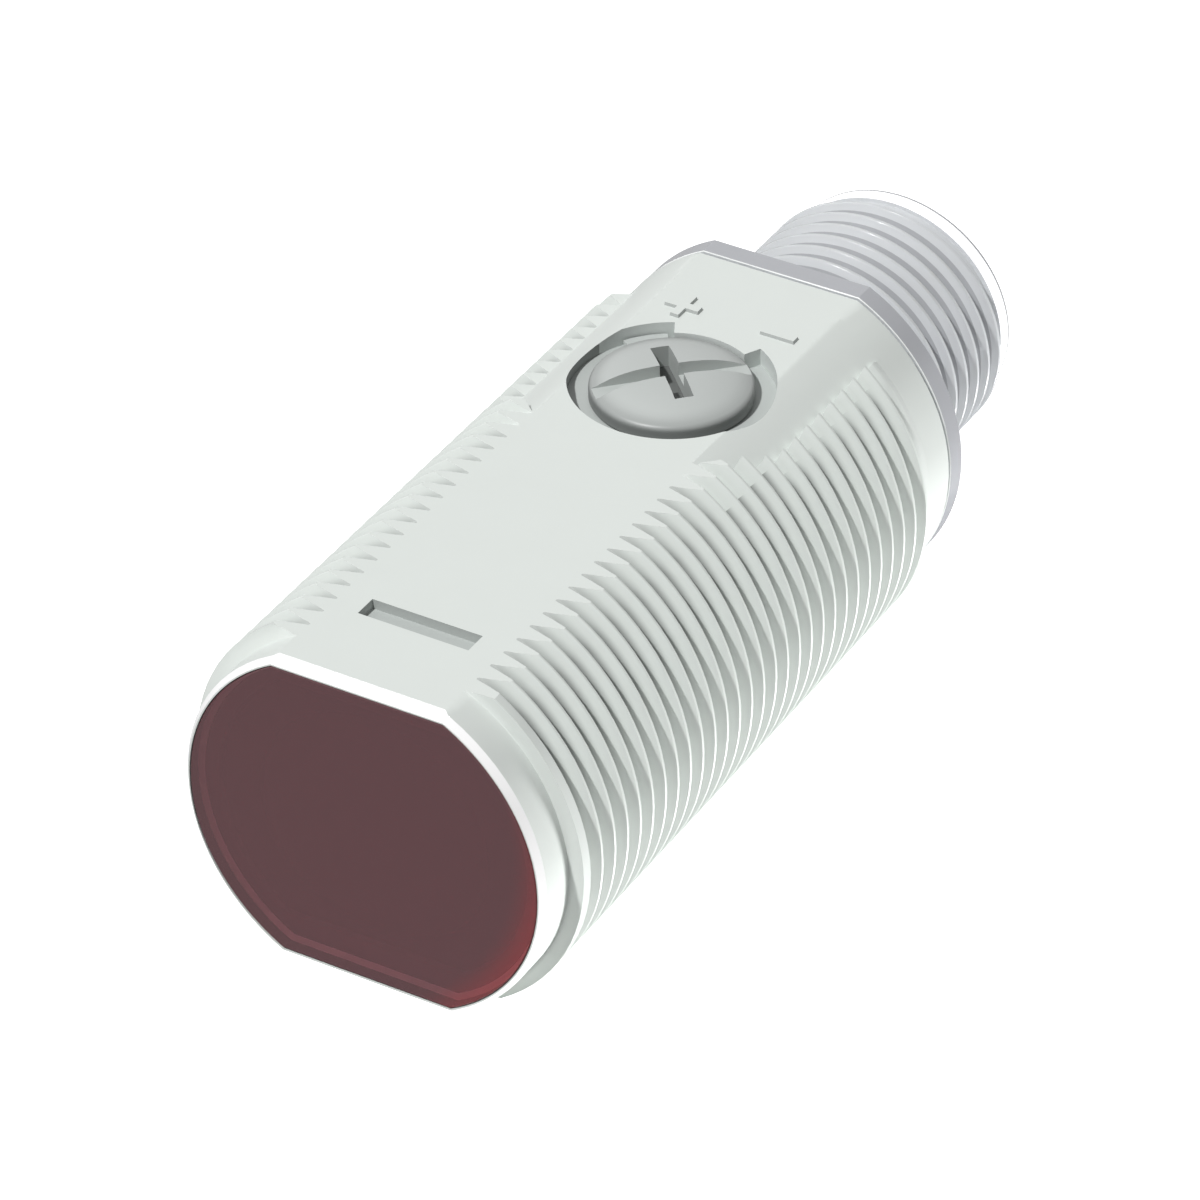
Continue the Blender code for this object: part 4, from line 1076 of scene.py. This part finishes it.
@dataclass
class Adjuster:
    """The turning knob: dome, stop lug, cross recess, shaft and blade."""

    y: float
    flat_half: float
    end: float
    radius: float = 3.45
    crown: float = 0.525
    edge_drop: float = 0.03
    shoulder: float = 0.3
    dome_power: float = 3.0
    base_drop: float = 0.7
    lug_r: float = 4.25
    lug_centre: float = -45.0
    lug_half: float = 13.0
    lug_thick: float = 0.2
    slot_width: float = 0.8
    short_half: float = 1.95
    long_drop: float = 0.1
    short_drop: float = 0.6
    shaft_r: float = 1.1
    blade_width: float = 0.7
    blade_half: float = 0.9
    blade_depth: float = 0.4
    blade_sink: float = 0.05
    crown_points: int = 14
    shoulder_points: int = 7
    level_normal: float = 0.9
    reach: float = 1.0

    @property
    def shaft_end(self) -> float:
        """The height at which the shaft ends and the blade begins."""
        return self.end + self.blade_depth

    def dome(self) -> list[tuple[float, float]]:
        """Return the profile from the crown to the base, height 0 at the flat.

        The dome falls with a power of the radius and meets the rounded shoulder on a
        common tangent.
        """
        edge = self.radius - self.shoulder
        drop = self.crown + self.edge_drop
        slope = np.arctan(self.dome_power * drop / edge)
        radii = edge * np.linspace(0.0, 1.0, self.crown_points)
        crown = [(r, self.crown - drop * (r / edge) ** self.dome_power) for r in radii]
        turn = np.linspace(slope, np.pi / 2, self.shoulder_points)[1:]
        middle_r = edge - self.shoulder * np.sin(slope)
        middle_z = -self.edge_drop - self.shoulder * np.cos(slope)
        span = (self.radius - middle_r) / self.shoulder
        shoulder = [(middle_r + span * self.shoulder * np.sin(a),
                     middle_z + self.shoulder * np.cos(a)) for a in turn]
        base = [(self.radius, -self.base_drop), (self.shaft_r, -self.base_drop),
                (self.shaft_r, self.shaft_end - self.flat_half),
                (0.0, self.shaft_end - self.flat_half)]
        return crown + shoulder + base

    def build(self) -> None:
        """Make the knob and dress it."""
        solid = lathe(self.dome(), FACETS, Axis.Z).moved(y=self.y, z=self.flat_half)
        made, base = solid.object("knob"), self.flat_half - self.base_drop
        start, end = self.lug_centre - self.lug_half, self.lug_centre + self.lug_half
        sector = np.vstack([arc(self.lug_r, start, end, 12), arc(self.shaft_r, end, start, 4)])
        lug = prism(sector, base, base + self.lug_thick, Axis.Z).moved(y=self.y)
        blade = prism(rectangle(self.blade_half, self.blade_width / 2),
                      self.shaft_end - self.blade_depth, self.shaft_end + self.blade_sink,
                      Axis.Z).moved(y=self.y)
        carve(made, Joining.ADD, lug, blade)
        top = self.flat_half + self.crown + self.reach
        long_slot = prism(rectangle(self.radius + self.reach, self.slot_width / 2),
                          self.flat_half - self.long_drop, top, Axis.Z)
        short_slot = prism(rectangle(self.slot_width / 2, self.short_half),
                           self.flat_half - self.short_drop, top, Axis.Z)
        carve(made, Joining.REMOVE, *[slot.turned_about_z(-self.lug_centre).moved(y=self.y)
                                      for slot in (long_slot, short_slot)])
        # The knob's finish darkens below the flat as painted shade.
        place_piece(made, KNOB_GREY_SHADE, Body.ADJUSTER, "adjuster_knob")
        (x, y, z), normal = face_data(made)
        turn = np.radians(self.lug_centre)
        y, height = y - self.y, z - self.flat_half
        towards_lug = np.abs(x * np.sin(turn) + y * np.cos(turn))
        sideways = np.abs(x * np.cos(turn) - y * np.sin(turn))
        place = np.hypot(x, y)
        upright, level = np.abs(normal[2]) < UPRIGHT, normal[2] > self.level_normal
        half = self.slot_width / 2
        long_wall = upright & (np.abs(towards_lug - half) < TOUCH) & (height > -self.long_drop)
        long_floor = level & (np.abs(height + self.long_drop) < TOUCH)
        short_wall = upright & (towards_lug < self.short_half + TOUCH) & (
            (np.abs(sideways - half) < TOUCH)
            | (np.abs(towards_lug - self.short_half) < TOUCH) & (sideways < half))
        short_floor = level & (np.abs(height + self.short_drop) < TOUCH) & (sideways < half)
        inside = (place < self.radius) & (height > -self.short_drop - TOUCH)
        paint(made, KNOB_SLOT, inside & long_wall)
        # Painted shade on the short slot's walls and floor.
        paint(made, KNOB_SHORT_SLOT_SHADE, inside & short_wall)
        paint(made, KNOB_DEEP_SLOT_SHADE, inside & short_floor)
        paint(made, KNOB_LUG, (place > self.radius) & (height > -self.base_drop - TOUCH)
              | inside & long_floor)


@dataclass
class Plug:
    """The hazy plug body: flange, M12 x 1 thread, nose, socket and spigot."""

    start: float
    end: float
    flat_half: float
    flange_thick: float = 1.02
    flange_r: float = 8.28
    flange_edge: float = 0.035
    root_r: float = 5.35
    crest_r: float = 5.9
    nose_r: float = 5.5
    crest_flat: float = 0.16
    root_flat: float = 0.12
    thread_rounding: float = 0.05
    neck: float = 0.85
    turns: int = 7
    thread_run: float = 0.11
    run_up: float = 0.3
    nose_edge: float = 0.1
    nose_slope: float = 0.05
    nose_from: float = 1.1
    shade_to: float = 0.5
    rim_line: float = 0.2
    socket_r: float = 4.3
    socket_sink: float = 0.05
    lip: float = 0.2
    lip_thick: float = 0.4
    lip_gap: float = 0.1
    key_width: float = 1.0
    key_height: float = 0.8
    key_sink: float = 0.15
    key_front: float = 3.0
    key_rear: float = 0.6
    spigot_length: float = 2.8
    spigot_r: float = 7.0
    spigot_half: float = 5.7
    spigot_wall: float = 0.9
    groove_front: float = 0.8
    groove_width: float = 1.2
    groove_depth: float = 0.5
    groove_core: tuple[float, float] = (-1.0, 3.0)
    socket_facets: int = 64
    face_normal: float = 0.9
    reach: float = 2.0

    @property
    def flange_front(self) -> float:
        """Where the flange meets the barrel."""
        return self.start + self.spigot_length

    @property
    def flange_rear(self) -> float:
        """Where the flange ends and the stem begins."""
        return self.flange_front + self.flange_thick

    def threaded(self) -> Shape:
        """Return the round stem with its thread and nose."""
        form = ThreadForm(self.root_r, self.crest_r, self.crest_flat, self.root_flat,
                          self.thread_rounding)
        start, edge = self.flange_rear + self.neck, self.nose_edge
        step = start + self.turns + form.pitch
        front = [(self.root_r, self.flange_front + edge), (self.root_r, start - self.run_up)]
        rear = [(self.root_r, step + self.nose_slope), (self.nose_r, step + edge),
                (self.nose_r, self.end - self.rim_line), (self.nose_r, self.end - edge),
                (self.nose_r - edge, self.end)]
        return form.barrel(start, self.turns, self.thread_run, self.thread_run, FACETS, front,
                           rear)

    def flange(self) -> Shape:
        """Return the flange, with small chamfers round both faces."""
        edge, front, rear = self.flange_edge, self.flange_front, self.flange_rear
        return flatted_steps(self.flange_r, self.flat_half, [
            (edge, front), (0.0, front + edge), (0.0, rear - edge), (edge, rear)])

    def build(self) -> None:
        """Make the plug body and dress it."""
        made = self.threaded().object("plug_body")
        front = self.flange_front - self.spigot_length
        bottom = self.flange_front - self.socket_sink
        radius, half = self.spigot_r, self.spigot_half
        spigot = flatted_prism(radius, half, front, self.flange_front + self.flange_thick / 2)
        carve(made, Joining.ADD, self.flange(), spigot)

        wall, depth, reach = self.spigot_wall, self.groove_depth, self.reach
        groove_at = front + self.groove_front
        groove = flatted_prism(radius + reach, half + reach, groove_at,
                               groove_at + self.groove_width).object("groove")
        before, after = self.groove_core
        carve(groove, Joining.REMOVE, flatted_prism(radius - depth, half - depth,
                                                    groove_at + before, groove_at + after))
        carve(made, Joining.REMOVE,
              flatted_prism(radius - wall, half - wall, front - reach, self.flange_front,
                            self.socket_facets), groove,
              disc(self.socket_r, bottom, self.end + reach, self.socket_facets, Axis.Y),
              disc(self.socket_r + self.lip + self.lip_gap, bottom, self.flange_front
                   + self.lip_thick + self.lip_gap, self.socket_facets, Axis.Y))
        key = prism(rectangle(self.key_width / 2, self.key_height / 2 + self.key_sink),
                    self.flange_front + self.key_front, self.end - self.key_rear, Axis.Y)
        carve(made, Joining.ADD, key.moved(
            z=self.socket_r - self.key_height / 2 + self.key_sink))
        place_piece(made, HAZE, Body.SENSOR, "connector_body")
        self.paint(made)

    def paint(self, made: Piece) -> None:
        """Give the plug's grooves, nose, rim and flange their finishes.

        The grooves' painted shade ends, and the nose's painted glow begins, a little after the
        thread; the rim line at the nose's end is painted shade too.
        """
        (x, y, z), normal = face_data(made)
        radius = np.hypot(x, z)
        thread_end = self.flange_rear + self.neck + self.turns
        behind = y > self.flange_rear + TOUCH
        ridge = behind & (radius > self.root_r - 5 * TOUCH)
        nose = ridge & (y > thread_end + self.nose_from)
        rim = nose & (y > self.end - self.rim_line)
        # Painted shade in the grooves and on the rim line, painted glow on the nose.
        paint(made, HAZE_SHADE, ridge & ~nose & (y < thread_end + self.shade_to)
              & (radius < (self.root_r + self.crest_r) / 2 - 2 * TOUCH))
        paint(made, NOSE_GLOW, nose & ~rim)
        paint(made, HAZE_SHADE, rim)
        collar = ~behind & (y > self.flange_front) & (
            (radius > self.crest_r) | (y > self.flange_rear - TOUCH))
        paint(made, FLANGE_HAZE, collar)
        # Painted highlight on the flange's front chamfer.
        paint(made, SEAM_HIGHLIGHT, collar & (np.abs(normal[1]) < self.face_normal)
              & (np.abs(y - self.flange_front - self.flange_edge / 2) < TOUCH))


@dataclass
class Insides:
    """The CAD nodes that keep their shape and get a finish."""

    dressed: tuple[tuple[Finish, str], ...] = (
        (RUBBER, "adjuster_seal rear_seal"), (TRIMMER_BLUE, "trimmer_body"),
        (ROTOR_WHITE, "trimmer_rotor"), (BLACK, "optics_holder contact_carrier"),
        (FILM, "polarising_filter"), (CLEAR, "collimator_lens beam_splitter"),
        (RED_EPOXY, "emitter_led"), (GREEN_EPOXY, "power_led"), (YELLOW_EPOXY, "output_led"),
        (BOARD, "main_board connector_board"), (CERAMIC, "filter_capacitor"),
        (PACKAGE, "receiver_photodiode signal_chip voltage_regulator output_transistor"),
        (PACKAGE, "protection_diode"),
        (GOLD, "contact_pin_1 contact_pin_2 contact_pin_3 contact_pin_4"))

    def build(self, nodes: dict[str, Piece]) -> None:
        """Dress each node.

        Args:
            nodes: The frame's nodes by name.
        """
        for finish, names in self.dressed:
            for name in names.split():
                mesh = nodes[name].data
                mesh.materials.clear()
                mesh.materials.append(finish.material())
                LOG.info("%s: %s", name, finish.name)


@dataclass
class Studio:
    """The white surroundings, the white floor and the suns.

    A sun is its name, its strength, its width in degrees and the way its light goes.
    """

    floor_z: float
    floor_size: float = 1500.0
    sky: float = 0.25
    suns: tuple[tuple[str, float, float, tuple[float, float, float]], ...] = (
        ("key", 2.85, 3.0, (0.188, 0.5, -0.847)),
        ("edge", 5.1, 12.0, (-0.63, -0.3, 0.71)))

    def world(self) -> None:
        """Make white surroundings: full white to look at, and a share of it as light."""
        world = bpy.data.worlds.new("white_room")
        bpy.context.scene.world = world
        world.use_nodes = True
        graph = Graph(world.node_tree)
        ray = graph.add("ShaderNodeLightPath", {})
        seen = graph.math("MAXIMUM", ray["Is Camera Ray"], ray["Is Glossy Ray"])
        strength = graph.add("ShaderNodeMapRange", {
            "To Min": self.sky, "To Max": 1.0,
            "Value": graph.math("MAXIMUM", seen, ray["Is Transmission Ray"])})
        graph.feed(world.node_tree.nodes["Background"], {
            "Color": (1.0, 1.0, 1.0, 1.0), "Strength": strength["Result"]})

    def floor(self) -> None:
        """Make a white floor that still takes the part's shadow."""
        half = self.floor_size / 2
        corners = np.column_stack([rectangle(half, half), np.full(4, self.floor_z)])
        mesh = bpy.data.meshes.new("floor")
        mesh.from_pydata(corners * MM, [], [[0, 1, 2, 3]])
        made = bpy.data.objects.new("floor", mesh)
        made.visible_shadow = False
        bpy.context.scene.collection.objects.link(made)
        material = bpy.data.materials.new("white_floor")
        material.use_nodes = True
        graph = Graph(material.node_tree)
        ray = graph.add("ShaderNodeLightPath", {})
        graph.feed(material.node_tree.nodes["Principled BSDF"], {
            "Base Color": (0.5, 0.5, 0.5, 1.0), "Roughness": 1.0, "Specular IOR Level": 0.0,
            "Emission Color": (1.0, 1.0, 1.0, 1.0), "Emission Strength": ray["Is Camera Ray"]})
        mesh.materials.append(material)

    def light(self) -> None:
        """Hang the key light, high in front, and an edge light from low behind."""
        for name, strength, angle, towards in self.suns:
            lamp = bpy.data.lights.new(name, "SUN")
            lamp.energy = strength
            lamp.angle = np.radians(angle)
            made = bpy.data.objects.new(name, lamp)
            made.rotation_mode = "QUATERNION"
            made.rotation_quaternion = Vector(towards).to_track_quat("-Z", "Y")
            bpy.context.scene.collection.objects.link(made)

    def build(self) -> None:
        """Set the stage."""
        self.world()
        self.floor()
        self.light()
        bpy.context.scene.view_settings.view_transform = "Standard"


@dataclass
class PhotoCamera:
    """The camera that took the photograph, as solved from it."""

    place: tuple[float, float, float] = (114.066, -174.934, 160.058)
    azimuth_deg: float = 30.5206
    elevation_deg: float = 35.4254
    roll_deg: float = -0.5483
    focal_px: float = 6699.95
    middle_px: tuple[float, float] = (599.196, 594.572)
    frame_px: float = 1200.0
    sensor: float = 36.0

    def build(self) -> None:
        """Make the camera and set it as the scene's."""
        azimuth, elevation, roll = np.radians(
            [self.azimuth_deg, self.elevation_deg, self.roll_deg])
        back = Vector((np.sin(azimuth) * np.cos(elevation),
                       -np.cos(azimuth) * np.cos(elevation), np.sin(elevation)))
        right = Vector((np.cos(azimuth), np.sin(azimuth), 0.0))
        up = back.cross(right)
        level_right = right * np.cos(roll) + up * np.sin(roll)
        level_up = up * np.cos(roll) - right * np.sin(roll)
        data = bpy.data.cameras.new("photo_camera")
        data.sensor_width = self.sensor
        data.lens = self.focal_px / self.frame_px * self.sensor
        data.shift_x = (self.frame_px / 2 - self.middle_px[0]) / self.frame_px
        data.shift_y = (self.middle_px[1] - self.frame_px / 2) / self.frame_px
        data.clip_start = 10 * MM
        data.clip_end = 5000 * MM
        made = bpy.data.objects.new("photo_camera", data)
        turn = Matrix((level_right, level_up, back)).transposed().to_4x4()
        made.matrix_world = Matrix.Translation(Vector(self.place) * MM) @ turn
        bpy.context.scene.collection.objects.link(made)
        bpy.context.scene.camera = made


def millimetres(node: str) -> tuple[Array, Array]:
    """Return a CAD node's lowest and highest corners in millimetres."""
    low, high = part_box(node)
    return np.array(low) / MM, np.array(high) / MM


def main() -> None:
    """Build the sensor's pieces in order, then the studio."""
    logging.basicConfig(level=logging.INFO, format="%(message)s")
    for obj in list(bpy.data.objects):
        bpy.data.objects.remove(obj, do_unlink=True)
    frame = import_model()

    low, high = millimetres("housing")
    knob_y = frame["joints"][0]["pos_m"][1] / MM
    barrel = Barrel(length=high[1], crest_r=high[0], flat_half=-low[2], knob_y=knob_y)
    barrel.build()
    _, window_high = millimetres("front_window")
    Window(radius=window_high[0], half=window_high[2], thick=window_high[1]).build()
    knob_low, _ = millimetres("adjuster_knob")
    Adjuster(y=knob_y, flat_half=barrel.flat_half, end=knob_low[2]).build()
    plug_low, plug_high = millimetres("connector_body")
    Plug(start=plug_low[1], end=plug_high[1], flat_half=barrel.flat_half).build()
    Insides().build(frame["nodes"])
    Studio(floor_z=low[2]).build()
    PhotoCamera().build()


if __name__ == "__main__":
    main()
